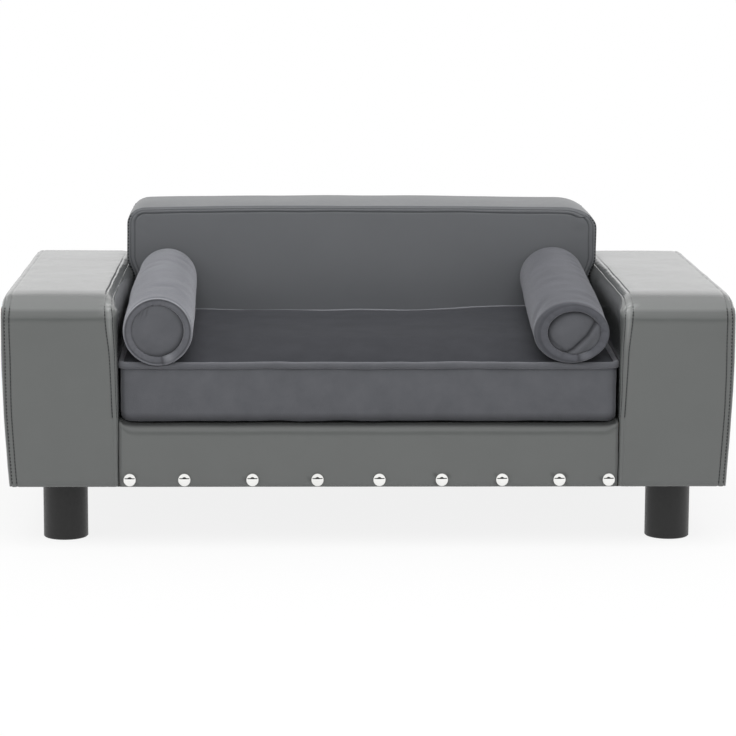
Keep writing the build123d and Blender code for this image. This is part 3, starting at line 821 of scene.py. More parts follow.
@dataclass
class Arm(SewnBlock):
    """One box arm: a band up the front and over the top, sewn to an inner and an outer side."""

    # Where the inner seam's twin lines lie across the band
    twins: Pair = (2.8, 14.0)
    # The twin lines lead into the rail's end: their places at some heights up the front
    lead_heights: tuple[float, ...] = (60, 147, 172, 224, 276, 281)
    first_lead: tuple[float, ...] = (0.7, 0.8, 1.6, 2.2, 2.8, 2.8)
    second_lead: tuple[float, ...] = (5.4, 5.6, 6.9, 9.6, 14, 14)
    lead_width: float = 40.0
    # The joint with the rail hides the twin lines below this height
    joint_z: float = 147.0
    # The inner front edge tightens towards the joint: its radius at some heights
    edge_heights: tuple[float, ...] = (60, 147, 172, 224, 257)
    edge_radii: tuple[float, ...] = (1.5, 2.5, 5, 7, 12.5)
    top_radius: float = 21.0
    crown: float = 1.5
    front_sink: float = 7.5
    sink_reach: float = 62.0
    foot_draw: float = 6.5
    draw_z: float = 235.0
    front_fill: float = 0.9
    corner_z: float = 272.0
    # Where the front turns into the top, and how much painted highlight goes there and elsewhere
    turn_z: float = 264.0
    turn_pale: float = 0.27
    corner_pale: float = 1.1
    between_pale: float = 0.3
    gather_depth: float = 2.2
    seam_ruffle: Swell = Swell(13, 0.30)
    broad_slack: Swell = Swell(85, 0.55, 3)
    fine_slack: Swell = Swell(32, 0.14, 5)

    def rim_low(self, rim: Rim) -> Array:
        """The inner edge: soft along the top, and ever tighter down the front to the rail."""
        front = np.interp(rim.v, self.edge_heights, self.edge_radii)
        return rim.radius(self.top_radius, np.where(rim.n_u < 0, front, 6.0))

    def rim_high(self, rim: Rim) -> Array:
        """The outer edge."""
        return rim.radius(9.0, 8.0)

    def across(self, u: Array, v: Array, w: Array) -> Array:
        """Lead the twin sewn lines into the rail's end as they come down the front."""
        off = w - self.low[2]
        a, b = self.twins
        first = np.interp(v, self.lead_heights, self.first_lead)
        second = np.interp(v, self.lead_heights, self.second_lead)
        led = np.where(off < a, off / a * first, first + (off - a) / (b - a) * (second - first))
        past = second + (off - b) / (self.lead_width - b) * (self.lead_width - second)
        led = np.where(off > b, past, led)
        at_front = u - self.low[0] < TINY
        return np.where(at_front & (off < self.lead_width), self.low[2] + led, w)

    def fade(self, sewn: Array, sharp: Array) -> Array:
        """The twin lines end where the rail meets the arm."""
        hidden = (sharp[:, 2] - self.low[2] < 30) & (sharp[:, 1] < self.joint_z) & (sharp[:, 0] < 0)
        return np.where(hidden, 0.0, sewn)

    def stretch(self, p: Array, t: Array) -> Array:
        """Painted highlight at the inner front corner, between the twin lines and over the front's
        turn.
        """
        x, y, z = p.T
        behind = y - FRONT_Y
        corner = hill(x, INNER_X + 8, 7) * hill(behind, 6, 12) * hill(z, self.corner_z, 8)
        ridges = np.clip(0.35 + swell(p, 3.4, self.seed) * 0.9, 0, 1)
        between = hill(t, sum(self.twins) / 2, 3.6) * smooth((z - 215) / 40)
        between *= np.exp(-np.clip(behind - 10, 0, None) / 60)
        turn = smooth((z - self.turn_z) / 5) * (1 - smooth((behind - 16) / 22))
        pale = corner * ridges * self.corner_pale + between * self.between_pale
        return np.clip(pale + turn * self.turn_pale, 0, 1)

    def form(self, p: Array, normal: Array, t: Array) -> Array:
        """Crown the top, let its front sink, draw in the outer foot and pull at the seams."""
        x, y, z = p.T
        share_x = np.clip((x - INNER_X) / (HALF_WIDTH - INNER_X), 0, 1)
        share_y = np.clip((y - FRONT_Y) / (REAR_Y - FRONT_Y), 0, 1)
        up, front = np.clip(normal[:, 2], 0, 1), np.clip(-normal[:, 1], 0, 1)
        z = z + up * self.crown * np.sin(np.pi * share_x) ** 0.8 * np.sin(np.pi * share_y) ** 0.5
        sink = self.front_sink * np.clip(1 - (y - FRONT_Y) / self.sink_reach, 0, 1) ** 2
        z = z - sink * smooth((z - 205) / 55)
        lower = np.clip(1 - (z - HEM_Z) / (self.draw_z - HEM_Z), 0, 1)
        x = x - self.foot_draw * lower**2 * share_x
        y = y - front * self.front_fill * np.sin(np.pi * share_x)
        p = np.stack([x, y, z], 1)
        near = np.exp(-np.minimum(np.abs(t - 8), np.abs(t - 122)) / 9)
        ruffle = self.seam_ruffle.over(p, self.seed) * near
        soft = self.broad_slack.over(p, self.seed) + self.fine_slack.over(p, self.seed)
        soft *= (1 - 0.6 * up) * smooth((z - HEM_Z) / 30)
        corner = hill(y, FRONT_Y + 8, 14) * hill(z, self.corner_z, 12) * hill(x, INNER_X + 7, 10)
        gather = (0.5 - np.abs(swell(p, 5.5, self.seed + 8))) * self.gather_depth * corner
        return p + normal * (ruffle + soft + gather)[:, None]


@dataclass
class Backrest(SewnBlock):
    """The backrest: a front and a rear panel joined by a band with a stitched seam."""

    radii: Pair = (7.0, 7.0)
    # It flares by this much to each side above this height
    flare: float = 8.4
    flare_z: float = 257.0
    crown: float = 2.5
    rear_fall: float = 2.6
    front_fill: float = 2.2
    half_x: float = 285.0
    # The middles of its top corners, from which short folds run out
    corner_x: float = 262.0
    corner_z: float = 329.0
    fold_z: float = 322.0
    fold_depth: float = 1.5
    seam_ruffle: Swell = Swell(14, 0.32)
    slack: Swell = Swell(85, 0.55, 4)

    def form(self, p: Array, normal: Array, t: Array) -> Array:
        """Flare above the arms, crown the top line and fill the front panel."""
        x, y, z = p.T
        up, front = np.clip(normal[:, 2], 0, 1), np.clip(-normal[:, 1], 0, 1)
        x = x * (1 + self.flare / INNER_X * smooth((z - self.flare_z) / 30))
        z = z - self.crown * (x / self.half_x) ** 2 * np.clip((z - HEM_Z) / 281, 0, 1) ** 3
        z = z - up * self.rear_fall * np.clip(1 - (y - BACK_Y) / 80, 0, 1) ** 2
        fill = np.cos(np.clip(x / self.half_x, -1, 1) * np.pi / 2) ** 0.5
        fill *= np.sin(np.clip((z - 110) / 238, 0, 1) * np.pi)
        y = y - front * self.front_fill * fill
        p = np.stack([x, y, z], 1)
        ruffle = self.seam_ruffle.over(p, self.seed) * np.exp(-np.abs(t + 4) / 8)
        corner = hill(np.abs(x), self.corner_x, 16) * hill(z, self.corner_z, 14) * front
        bearing = np.arctan2(z - self.fold_z, self.corner_x - np.abs(x))
        folds = np.abs(np.sin(bearing * 5 + swell(p, 20, self.seed + 2))) ** 3
        pucker = (0.4 - folds * self.fold_depth) * corner
        return p + normal * (ruffle + pucker + self.slack.over(p, self.seed))[:, None]


@dataclass
class FrontRail(SewnBlock):
    """The front rail's cover, drawn up at both ends where it meets the arms."""

    radii: Pair = (12.0, 0.6)
    end_lift: float = 6.0
    front_fill: float = 0.7
    nail_press: float = 1.1
    press_reach: float = 10.5
    crease_radius: float = 7.9
    crease_shade: float = 0.7
    joint_shade: float = 0.9
    slack: Swell = Swell(60, 0.35)
    end_ruffle: Swell = Swell(9, 0.3, 2)

    def rim_low(self, rim: Rim) -> Array:
        """Full along the top front edge, tight at the ends and the hem."""
        return rim.radius(self.radii[0], 1.4)

    def form(self, p: Array, normal: Array, t: Array) -> Array:
        """Lift the ends of the top and fill the face a little."""
        x, y, z = p.T
        share = np.clip((z - HEM_Z) / (RAIL_TOP - HEM_Z), 0, 1)
        z = z + self.end_lift * np.clip((np.abs(x) - 259) / 18, 0, 1) ** 2 * share**2
        front = np.clip(-normal[:, 1], 0, 1)
        y = y - front * self.front_fill * np.sin(np.pi * share)
        p = np.stack([x, y, z], 1)
        soft = self.slack.over(p, self.seed) * smooth((z - HEM_Z) / 20)
        ends = np.exp(-(INNER_X - np.abs(x)) / 10) * self.end_ruffle.over(p, self.seed)
        ends *= np.clip(np.abs(normal[:, 1]), 0, 1)
        dimple = self.nail_press * hill(self.from_nails(x, z), 0, self.press_reach) * front
        return p + normal * (soft + ends - dimple)[:, None]

    @staticmethod
    def from_nails(x: Array, z: Array) -> Array:
        """Distance of each point from the nearest nail's middle."""
        return np.min([np.hypot(x - nail_x, z - NAIL_Z) for nail_x in NAIL_XS], 0)

    def fade(self, sewn: Array, sharp: Array) -> Array:
        """Paint shade into the crease that each nail presses and over the top, and darken the joint
        with each arm.
        """
        u, v, w = sharp.T
        crease = self.crease_shade * hill(self.from_nails(u, v), self.crease_radius, 0.5)
        joint = self.joint_shade * (hill(u, self.low[0], 0.9) + hill(u, self.high[0], 0.9))
        depth = w - self.low[2]
        # The top is painted with the cushion's shade as far as the turn of its edge
        reach_in = depth - (self.high[1] - v)
        sewn = np.maximum(sewn, smooth((reach_in + 7) / 8))
        return np.where(depth < TINY, np.maximum(sewn, np.clip(crease + joint, 0, 1)), sewn)


# ---------------------------------------------------------------- things that repeat


class Repeats:
    """Geometry Nodes trees that lay a small thing along paths or on points."""

    def __init__(self) -> None:
        """Build both trees."""
        self.along = self.tree("things_along_path", True)
        self.on_points = self.tree("things_on_points", False)

    @staticmethod
    def tree(name: str, on_path: bool) -> NodeTree:
        """Build one tree.

        Args:
            name: Its name.
            on_path: Whether the things follow the mesh's edges at a pitch.

        Returns:
            The tree, with named inputs Thing, Pitch and Finish.
        """
        tree = bpy.data.node_groups.new(name, "GeometryNodeTree")
        kinds = {"Geometry": "Geometry", "Thing": "Object", "Pitch": "Float", "Finish": "Material"}
        for label, kind in kinds.items():
            tree.interface.new_socket(label, in_out="INPUT", socket_type=f"NodeSocket{kind}")
        tree.interface.new_socket("Geometry", in_out="OUTPUT", socket_type="NodeSocketGeometry")
        given = add_node(tree, "NodeGroupInput").outputs
        thing = add_node(tree, "GeometryNodeObjectInfo", {"Object": given["Thing"]})
        laid = {"Points": given["Geometry"], "Instance": thing.outputs["Geometry"]}
        if on_path:
            line = add_node(tree, "GeometryNodeMeshToCurve", {"Mesh": given["Geometry"]})
            spacing = {"Curve": line.outputs["Curve"], "Length": given["Pitch"]}
            spaced = add_node(tree, "GeometryNodeResampleCurve", spacing, mode="LENGTH")
            way = {"Vector": add_node(tree, "GeometryNodeInputTangent").outputs["Tangent"]}
            turned = add_node(tree, "FunctionNodeAlignRotationToVector", way, axis="X")
            laid |= {"Points": spaced.outputs["Curve"], "Rotation": turned.outputs["Rotation"]}
        placed = add_node(tree, "GeometryNodeInstanceOnPoints", laid)
        made = {"Geometry": placed.outputs["Instances"]}
        real = add_node(tree, "GeometryNodeRealizeInstances", made)
        dress = {"Geometry": real.outputs["Geometry"], "Material": given["Finish"]}
        dressed = add_node(tree, "GeometryNodeSetMaterial", dress)
        add_node(tree, "NodeGroupOutput", {"Geometry": dressed.outputs["Geometry"]})
        return tree

    def lay(
        self, name: str, paths: list[Array], thing: Object, finish: Material, pitch: float = 0.0
    ) -> Object:
        """Lay a thing along paths at a pitch, or on each point where the pitch is zero.

        Args:
            name: The new piece's name.
            paths: Points of each path, or of one group of places, in millimetres.
            thing: The small object that is repeated; it is removed afterwards.
            finish: Its material.
            pitch: Spacing along the paths in millimetres.

        Returns:
            The new piece as a plain mesh.
        """
        points: list = []
        edges: list = []
        for path in paths:
            start = len(points)
            points += (np.asarray(path) * MM).tolist()
            edges += [(start + i, start + i + 1) for i in range(len(path) - 1)] if pitch else []
        mesh = bpy.data.meshes.new(name)
        mesh.from_pydata(points, edges, [])
        made = bpy.data.objects.new(name, mesh)
        bpy.context.scene.collection.objects.link(made)
        tree = self.along if pitch else self.on_points
        modifier = made.modifiers.new("laid", "NODES")
        modifier.node_group = tree
        values = {"Thing": thing, "Pitch": pitch * MM, "Finish": finish}
        for item in tree.interface.items_tree:
            if item.in_out == "INPUT" and item.name in values:
                modifier[item.identifier] = values[item.name]
        graph = bpy.context.evaluated_depsgraph_get()
        graph.update()
        plain = bpy.data.meshes.new_from_object(made.evaluated_get(graph), depsgraph=graph)
        made.modifiers.remove(modifier)
        made.data = plain
        plain.name = name
        bpy.data.meshes.remove(mesh)
        bpy.data.objects.remove(thing)
        return made


def lathe(name: str, profile: list[Pair], sides: int, turn: Matrix | None = None) -> Object:
    """Spin a profile of radius and height round Z, closing it where the radius is zero.

    Args:
        name: The object's name.
        profile: Radius and height of each ring, from one pole to the other.
        sides: Points in each ring.
        turn: A rotation put into the mesh.

    Returns:
        The new object.
    """
    angles = [2 * math.pi * i / sides for i in range(sides)]
    points = [(r * math.cos(a), r * math.sin(a), z) for r, z in profile[1:-1] for a in angles]
    rings = len(profile) - 2
    points += [(0, 0, profile[0][1]), (0, 0, profile[-1][1])]
    first, last, top = len(points) - 2, len(points) - 1, (rings - 1) * sides
    faces = ring_faces(rings, sides)
    faces += [(first, (i + 1) % sides, i) for i in range(sides)]
    faces += [(last, top + i, top + (i + 1) % sides) for i in range(sides)]
    made = make_object(name, np.array(points), face_outwards(np.array(points), faces))
    if turn:
        made.data.transform(turn)
    return made


def small_bar(name: str, half: Triple) -> Object:
    """A small bar along X with its long edges taken off, from half its three sizes."""
    a, b, c = half
    ring = [(-1, -0.5), (-0.5, -1), (0.5, -1), (1, -0.5), (1, 0.5), (0.5, 1), (-0.5, 1), (-1, 0.5)]
    points = np.array([(x, b * y, c * z) for x in (-a, a) for y, z in ring])
    faces = ring_faces(2, len(ring)) + end_faces(2, len(ring))
    return make_object(name, points, face_outwards(points, faces))


@dataclass
class Stitching:
    """Lockstitch thread that lies in the sewn lines of the leather covers."""

    repeats: Repeats
    palette: Palette
    pitch: float = 3.9
    stitch_length: float = 2.6
    thread_d: float = 1.0
    thread_sides: int = 5

    def sew(self, name: str, paths: list[Array]) -> Object:
        """Sew along the paths.

        Args:
            name: The new piece's name.
            paths: Points of each line, in millimetres.

        Returns:
            The stitches as one piece.
        """
        r, half = self.thread_d / 2, self.stitch_length / 2
        profile = [(0, -half), (r, -half * 0.72), (r * 1.1, 0), (r, half * 0.72), (0, half)]
        stitch = lathe("stitch", profile, self.thread_sides, Matrix.Rotation(math.pi / 2, 4, "Y"))
        piece = self.repeats.lay(name, paths, stitch, self.palette["thread"], self.pitch)
        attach(piece, "frame")
        return piece


@dataclass
class NailRow:
    """Chrome dome-head nails along the foot of the rail, as unevenly spaced as real ones."""

    repeats: Repeats
    palette: Palette
    head_d: float = 15.0
    head_h: float = 4.5
    shank_d: float = 2.0
    shank_length: float = 16.0
    # How far the dome's edge stands off the cover, over the rolled edge
    edge_lift: float = 0.5
    sides: int = 40
    dome_rings: int = 16

    def build(self) -> Object:
        """Make one nail and set it on every place.

        Returns:
            The row as one piece.
        """
        r, shank_r = self.head_d / 2, self.shank_d / 2
        # Half of a flattened ball, then a rolled edge
        rings = self.dome_rings
        shares = [math.sin(math.pi / 2 * i / rings) for i in range(rings + 1)]
        height = self.head_h - self.edge_lift
        profile = [(0.98 * r * k, -self.edge_lift - height * (1 - k**2) ** 0.5) for k in shares]
        profile += [(r, -0.3), (r, -0.05), (r - 0.6, 0.3), (r - 1.4, 0.1), (shank_r, 0.0)]
        profile += [(shank_r, self.shank_length - 2), (0, self.shank_length)]
        nail = lathe("nail", profile, self.sides, Matrix.Rotation(-math.pi / 2, 4, "X"))
        places = np.array([(x, FRONT_Y, NAIL_Z) for x in NAIL_XS])
        row = self.repeats.lay("chrome_nails", [places], nail, self.palette["nail_chrome"])
        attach(row, "frame")
        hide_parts("rail_nails")
        return row


# ---------------------------------------------------------------- padding that is blown up


@dataclass
class Filling:
    """Blows a closed cover up a little with cloth simulation, as its filling does."""

    pressure: float = 4.0
    frames: int = 20
    cap: float = 5.0

    def cloth(self, cover: Object) -> None:
        """Give the cover its cloth simulation."""
        cloth = cover.modifiers.new("filling", "CLOTH")
        settings = {
            "quality": 6, "mass": 0.3, "vertex_group_mass": "held",
            "use_pressure": True, "uniform_pressure_force": self.pressure,
            "tension_stiffness": 15, "compression_stiffness": 15, "bending_stiffness": 0.8,
        }
        for name, value in settings.items():
            setattr(cloth.settings, name, value)
        cloth.settings.effector_weights.gravity = 0.0
        cloth.collision_settings.use_collision = False

    def blow(self, points: Array, faces: list, pinned: Array) -> Array:
        """Simulate the cover and return where its points end up.

        Args:
            points: Vertex places in millimetres.
            faces: The cover's faces.
            pinned: How firmly each point is held, from 0 to 1.

        Returns:
            The new places, none further than the cap from the old.
        """
        cover = make_object("cover_in_simulation", points, faces)
        group = cover.vertex_groups.new(name="held")
        for index in np.nonzero(pinned > 0.01)[0].tolist():
            group.add([index], float(pinned[index]), "REPLACE")
        self.cloth(cover)
        scene = bpy.context.scene
        for frame in range(1, self.frames + 1):
            scene.frame_set(frame)
        graph = bpy.context.evaluated_depsgraph_get()
        blown = cover.evaluated_get(graph).data
        flat = np.zeros(len(blown.vertices) * 3, np.float32)
        blown.vertices.foreach_get("co", flat)
        moved = flat.reshape(-1, 3) / MM - points
        scene.frame_set(1)
        mesh = cover.data
        bpy.data.objects.remove(cover)
        bpy.data.meshes.remove(mesh)
        length = np.linalg.norm(moved, axis=1, keepdims=True) + LEAST
        return points + moved * np.minimum(1.0, self.cap / length)


@dataclass
class BolsterLine:
    """Where a bolster lies: its front end's middle, its axis and its length."""

    front_x: float
    rear_x: float
    front_z: float = 208.2
    rear_z: float = 226.6
    radius: float = 38.5
    length: float = 328.0
    overhang: float = 2.0
    front_sag: float = 3.2
    rear_sag: float = 2.0
    taper: float = 0.095
    flat: float = 0.0

    def sag(self, along: Array) -> Array:
        """How far the axis lies below its node's at each place along it."""
        share = np.clip(along / self.length, 0, 1)
        dropped = self.front_sag * (1 - smooth(share / 0.45)) + self.rear_sag * share**1.5
        return self.radius * self.squash(along) + dropped

    def size(self, along: Array) -> Array:
        """How thick the bolster is at each place along it, as a share of its end."""
        return 1 - self.taper * np.clip(along / self.length, 0, 1) ** 1.2

    def squash(self, along: Array) -> Array:
        """How far it is squashed at each place along it, as a share of its radius."""
        return self.flat * (1 - 0.75 * np.clip(along / self.length, 0, 1))

    def frame(self) -> tuple[Array, Array, Array, Array]:
        """The middle of the front end, then the directions along, across and up."""
        rise = self.rear_z - self.front_z
        start = np.array([self.front_x, FRONT_Y - self.overhang, self.front_z + self.radius])
        run = self.length * self.length / math.hypot(self.length, rise)
        ahead = np.array([self.rear_x - self.front_x, run, rise])
        ahead /= np.linalg.norm(ahead)
        across = np.array([ahead[1], -ahead[0], 0.0])
        across /= np.linalg.norm(across)
        return start, ahead, across, np.cross(across, ahead)

    def floor_at(self, x: Array, y: Array) -> Array:
        """Height of the bolster's underside over each place, or a great height beside it."""
        start, ahead, _, _ = self.frame()
        along = (y - start[1]) / ahead[1]
        off = x - (start[0] + along * ahead[0])
        squash = self.squash(along)
        reach = self.radius * self.size(along) + 0.6
        wide = reach * (1 + squash * 0.75)
        inside = (np.abs(off) < wide) & (along > -6) & (along < self.length + 6)
        depth = reach * (1 - squash) * np.sqrt(np.clip(1 - (off / wide) ** 2, 0, None))
        return np.where(inside, start[2] + along * ahead[2] - self.sag(along) - depth, FAR_ABOVE)


LEFT_LINE = BolsterLine(-232.6, -235.4)
RIGHT_LINE = BolsterLine(222.5, 229.5, front_sag=0.6, rear_sag=0.0, taper=0.02, flat=0.11)


@dataclass
class SeatCushion(SewnBlock):
    """The loose seat cushion: a plush box cushion with a crowned top, rising to the rear."""

    radii: Pair = (3.5, 3.0)
    corner_fullness: float = 5.0
    welt_front: float = 205.0
    welt_rear: float = 219.5
    rear_rise: float = 5.0
    crown: float = 13.0
    welt_d: float = 7.5
    welt_sides: int = 16
    foot_lift: float = 0.6
    side_draw: float = 1.2
    belly: float = 1.2
    hem_ridge_z: float = 155.5
    broad_rumple: Swell = Swell(42, 0.7)
    fine_rumple: Swell = Swell(19, 0.28, 2)
    welt_wave: Swell = Swell(55, 0.7, 4.2)
    cloth_thickness: float = 1.2
    # How close it comes to the arms, and its welt likewise
    side_gap: float = 1.2
    welt_gap: float = 0.4
    filling: Filling = field(default_factory=Filling)

    def rim_low(self, rim: Rim) -> Array:
        """The foot's edge: tight, and fuller round the corners."""
        from_ends = np.minimum(np.abs(rim.v - self.low[1]), np.abs(rim.v - self.high[1]))
        off = np.hypot(np.abs(rim.u) - self.high[0], from_ends)
        return self.radii[0] + self.corner_fullness * hill(off, 0, 20)

    def welt_height(self, x: Array, y: Array) -> Array:
        """Height of the welt's middle: rising to the rear, and more so at the rear's right."""
        share = (y - self.low[1]) / (self.high[1] - self.low[1])
        rise = self.rear_rise * smooth((x - 50) / 130) * smooth((y - self.high[1] + 70) / 60)
        return self.welt_front + (self.welt_rear - self.welt_front) * share + rise

    def form(self, p: Array, normal: Array, t: Array) -> Array:
        """Tilt the top and crown it, draw the sides in, fill the front and show its hem."""
        x, y, z = p.T
        foot, top = self.low[2], self.high[2]
        share = (z - foot) / (top - foot)
        z = foot + (self.welt_height(x, y) - foot) * share
        face, front = np.clip(normal[:, 2], 0, 1), np.clip(-normal[:, 1], 0, 1)
        inward = np.clip(t - (top - foot), 0, None)
        z = z + face * self.crown * (1 - np.exp(-inward / (16 + 16 * smooth((y - 10) / 60))))
        # Underneath, the edge stands off the deck and the middle rests on it
        z = z + self.foot_lift * hill(np.clip(-t, 0, None), 0, 13) * (1 - smooth(share / 0.3))
        sideways = np.abs(normal[:, 0]) * np.clip(1 - face, 0, 1)
        drawn = self.side_draw * sideways * np.cos(np.clip(y / 170, -1, 1) * np.pi / 2)
        p = np.stack([x - np.sign(x) * drawn, y, z], 1)
        rumple = self.broad_rumple.over(p, self.seed) + self.fine_rumple.over(p, self.seed)
        belly = front * self.belly * np.sin(np.pi * np.clip(share, 0, 1))
        # The foot is hemmed, which shows as a low double ridge, clearest to the right
        level = z - self.hem_ridge_z - swell(p, 140, 3)
        hem = front * (0.9 * hill(level, 0, 2.1) - 0.5 * hill(level, 4.5, 1.4))
        hem *= 0.35 + 0.65 * smooth((p[:, 0] + 60) / 200)
        return p + normal * (rumple + belly + hem)[:, None]

    def settle(self, p: Array) -> Array:
        """Keep the cushion in its well and under the bolsters."""
        x, y, z = p.T
        x = np.clip(x, -INNER_X + self.side_gap, INNER_X - self.side_gap)
        y = np.clip(y, self.low[1] - 2.5, self.high[1] + 0.4)
        soft = 3.0
        for line in (LEFT_LINE, RIGHT_LINE):
            limit = line.floor_at(x, y)
            gap = z - limit
            eased = limit - soft * np.log1p(np.exp(-np.clip(gap, -60, 60) / soft))
            pressed = np.where(gap > -soft * 3, eased, z)
            z = np.where(limit < FAR_ABOVE, np.minimum(z, np.minimum(limit, pressed)), z)
        return np.stack([x, y, np.maximum(z, self.low[2])], 1)

    def held(self, sharp: Array) -> Array:
        """How firmly the welt, the foot's hem and the side seams hold each point."""
        inset_x, inset_y = (
            np.minimum(sharp[:, i] - self.low[i], self.high[i] - sharp[:, i]) for i in (0, 1)
        )
        inset = np.minimum(inset_x, inset_y)
        welt = np.exp(-(np.abs(sharp[:, 2] - self.high[2]) + inset) / 5)
        hem = 0.9 * np.exp(-(sharp[:, 2] - self.low[2] + inset) / 9)
        seams = 0.9 * np.exp(-np.hypot(inset_x, inset_y) / 14)
        return np.clip(np.maximum(np.maximum(welt, hem), seams), 0, 1)

    def shaded(self, sharp: Array, points: Array) -> Array:
        """How dark each point is painted: along the front's side seams, and with painted shade
        where the foot turns under.
        """
        corner = np.hypot(np.abs(sharp[:, 0]) - self.high[0], sharp[:, 1] - self.low[1])
        seam = hill(corner, 0, 2.6) * (sharp[:, 2] < self.high[2] - 1)
        turn = 1 - smooth((points[:, 2] - self.low[2] - 4) / 5)
        return np.maximum(seam * 0.4, 0.75 * turn)

    def dress(self, palette: Palette) -> list[Object]:
        """Blow the cover up, split it at the welt and add the welt itself.

        Args:
            palette: The sofa's finishes.

        Returns:
            The top panel, the boxing and the welt.
        """
        sharp, faces = self.grid()
        points = self.surface(sharp)[0]
        faces = face_outwards(points, faces)
        points = self.filling.blow(points, faces, self.held(sharp))
        points = self.settle(points)
        shade = self.shaded(sharp, points)
        on_top = sharp[:, 2] > self.high[2] - TINY
        parts = []
        panels = (("seat_top_panel", "plush_flat", True), ("seat_boxing", "plush", False))
        for name, slot, keep in panels:
            chosen = [f for f in faces if all(on_top[i] for i in f) == keep]
            used = sorted({i for f in chosen for i in f})
            lookup = {old: new for new, old in enumerate(used)}
            renumbered = [tuple(lookup[i] for i in f) for f in chosen]
            piece = make_object(name, points[used], renumbered, palette[slot])
            mark(piece, "seam_and_painted_shade", shade[used])
            thick = piece.modifiers.new("cloth_thickness", "SOLIDIFY")
            thick.thickness = self.cloth_thickness * MM
            thick.offset = -1.0
            parts.append(piece)
        parts.append(self.welt(palette))
        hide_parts("seat_cushion_top_panel", "seat_cushion_core")
        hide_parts("seat_cushion_boxing")
        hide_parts("seat_cushion_welt")
        for piece, fill in zip(parts, (0.8, 0.9, 0.9)):
            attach(piece, "seat_cushion")
            LOG.info("cushion piece %s, %d faces", piece.name, len(piece.data.polygons))
        return parts

    def welt_path(self) -> Array:
        """Flat points round the cushion's outline, where the welt is sewn in."""
        x1, y0, y1, r = self.high[0], self.low[1], self.high[1], self.corners[(1, 1)][0]
        quarter = np.linspace(0, math.pi / 2, 9)[1:-1]
        path: list[Pair] = []

        def corner(x: float, y: float, start: float) -> None:
            """Turn a corner round a middle."""
            path.extend((x + r * math.cos(start + a), y + r * math.sin(start + a)) for a in quarter)

        for s, end_y, start in ((-1, y0, math.pi), (1, y1, 0.0)):
            in_x, in_y = s * (x1 - r), end_y - s * r
            path += [(s * x1, y) for y in np.linspace(y0 + r, y1 - r, 60)[::s]]
            corner(in_x, in_y, start)
            path += [(x, end_y) for x in np.linspace(in_x, -in_x, 110)]
            corner(-in_x, in_y, start + math.pi / 2)
        return np.array(path)

    def welt(self, palette: Palette) -> Object:
        """The welt: a soft cord in plush, sewn in round the top edge and slightly wavy."""
        line = self.welt_path()
        spine = np.column_stack([line, self.welt_height(line[:, 0], line[:, 1])])
        spine[:, 2] += self.welt_wave.over(spine, 0.0)
        ahead = np.roll(spine, -1, 0) - np.roll(spine, 1, 0)
        ahead /= np.linalg.norm(ahead, axis=1, keepdims=True)
        outward = np.cross(ahead, np.array([0.0, 0.0, 1.0]))
        outward /= np.linalg.norm(outward, axis=1, keepdims=True)
        up = np.cross(outward, ahead) * 1.05
        # It thins towards the rear, and its thickness varies a little
        rearward = smooth((spine[:, 1] - self.low[1]) / 300)
        radius = self.welt_d / 2 * (1 + swell(spine, 18, 2.2) * 0.06) * (1 - 0.3 * rearward)
        count, sides = len(spine), self.welt_sides
        angles = 2 * math.pi * np.arange(sides) / sides
        around = [outward * math.cos(a) + up * math.sin(a) for a in angles.tolist()]
        points = np.stack([spine + way * radius[:, None] for way in around], 1).reshape(-1, 3)
        faces = []
        for i in range(count):
            a, b = i * sides, (i + 1) % count * sides
            turned = [(j, (j + 1) % sides) for j in range(sides)]
            faces += [(a + j, b + j, b + n, a + n) for j, n in turned]
        points = self.settle_welt(points)
        piece = make_object("seat_welt", points, face_outwards(points, faces), palette["plush"])
        # Painted highlight along the welt's top, stronger towards the rear
        crest = np.clip(np.sin(np.tile(angles, count)), 0, 1) ** 4
        mark(piece, "seam_and_painted_shade", np.zeros(len(points)))
        mark(piece, "raised", crest * (0.25 + 0.45 * np.repeat(rearward, sides)))
        return piece

    def settle_welt(self, p: Array) -> Array:
        """Press the welt down where a bolster lies on it, and keep it clear of the arms."""
        x, y, z = p.T
        for line in (LEFT_LINE, RIGHT_LINE):
            z = np.minimum(z, line.floor_at(x, y) - 0.2)
        return np.stack([np.clip(x, -INNER_X + self.welt_gap, INNER_X - self.welt_gap), y, z], 1)


@dataclass(frozen=True)
class Fold:
    """A soft fold in a bolster's sleeve: where it lies, how long, how wide and how deep."""

    along: float
    angle: float
    turn: float
    length: float
    width: float
    depth: float

    def over(self, along: Array, angle: Array, radius: float) -> Array:
        """Height of the fold at each place: a valley with a low ridge on one side."""
        a = along - self.along
        b = turned_from(angle, self.angle) * radius
        down = a * math.cos(self.turn) + b * math.sin(self.turn)
        side = -a * math.sin(self.turn) + b * math.cos(self.turn)
        ridge = hill(down, self.width * 1.7, self.width * 1.1)
        return (0.7 * ridge - hill(down, 0, self.width)) * hill(side, 0, self.length) * self.depth


def turned_from(angle: Array, start: float) -> Array:
    """Angles measured from a start, the shorter way round."""
    return (angle - start + math.pi) % (2 * math.pi) - math.pi


def from_line(a: Array, b: Array, line: tuple[Pair, ...]) -> Array:
    """Signed distance of flat points from a run of straight pieces, positive on its right.

    Args:
        a: First coordinate of each point.
        b: Second coordinate of each point.
        line: The run's corners in order.

    Returns:
        The distances.
    """
    best = np.full_like(a, 1e6)
    for (a0, b0), (a1, b1) in zip(line, line[1:]):
        da, db = a1 - a0, b1 - b0
        share = np.clip(((a - a0) * da + (b - b0) * db) / (da * da + db * db), 0, 1)
        gap = np.hypot(a - a0 - share * da, b - b0 - share * db)
        side = np.sign((b - b0) * da - (a - a0) * db)
        best = np.where(gap < np.abs(best), -side * gap, best)
    return best


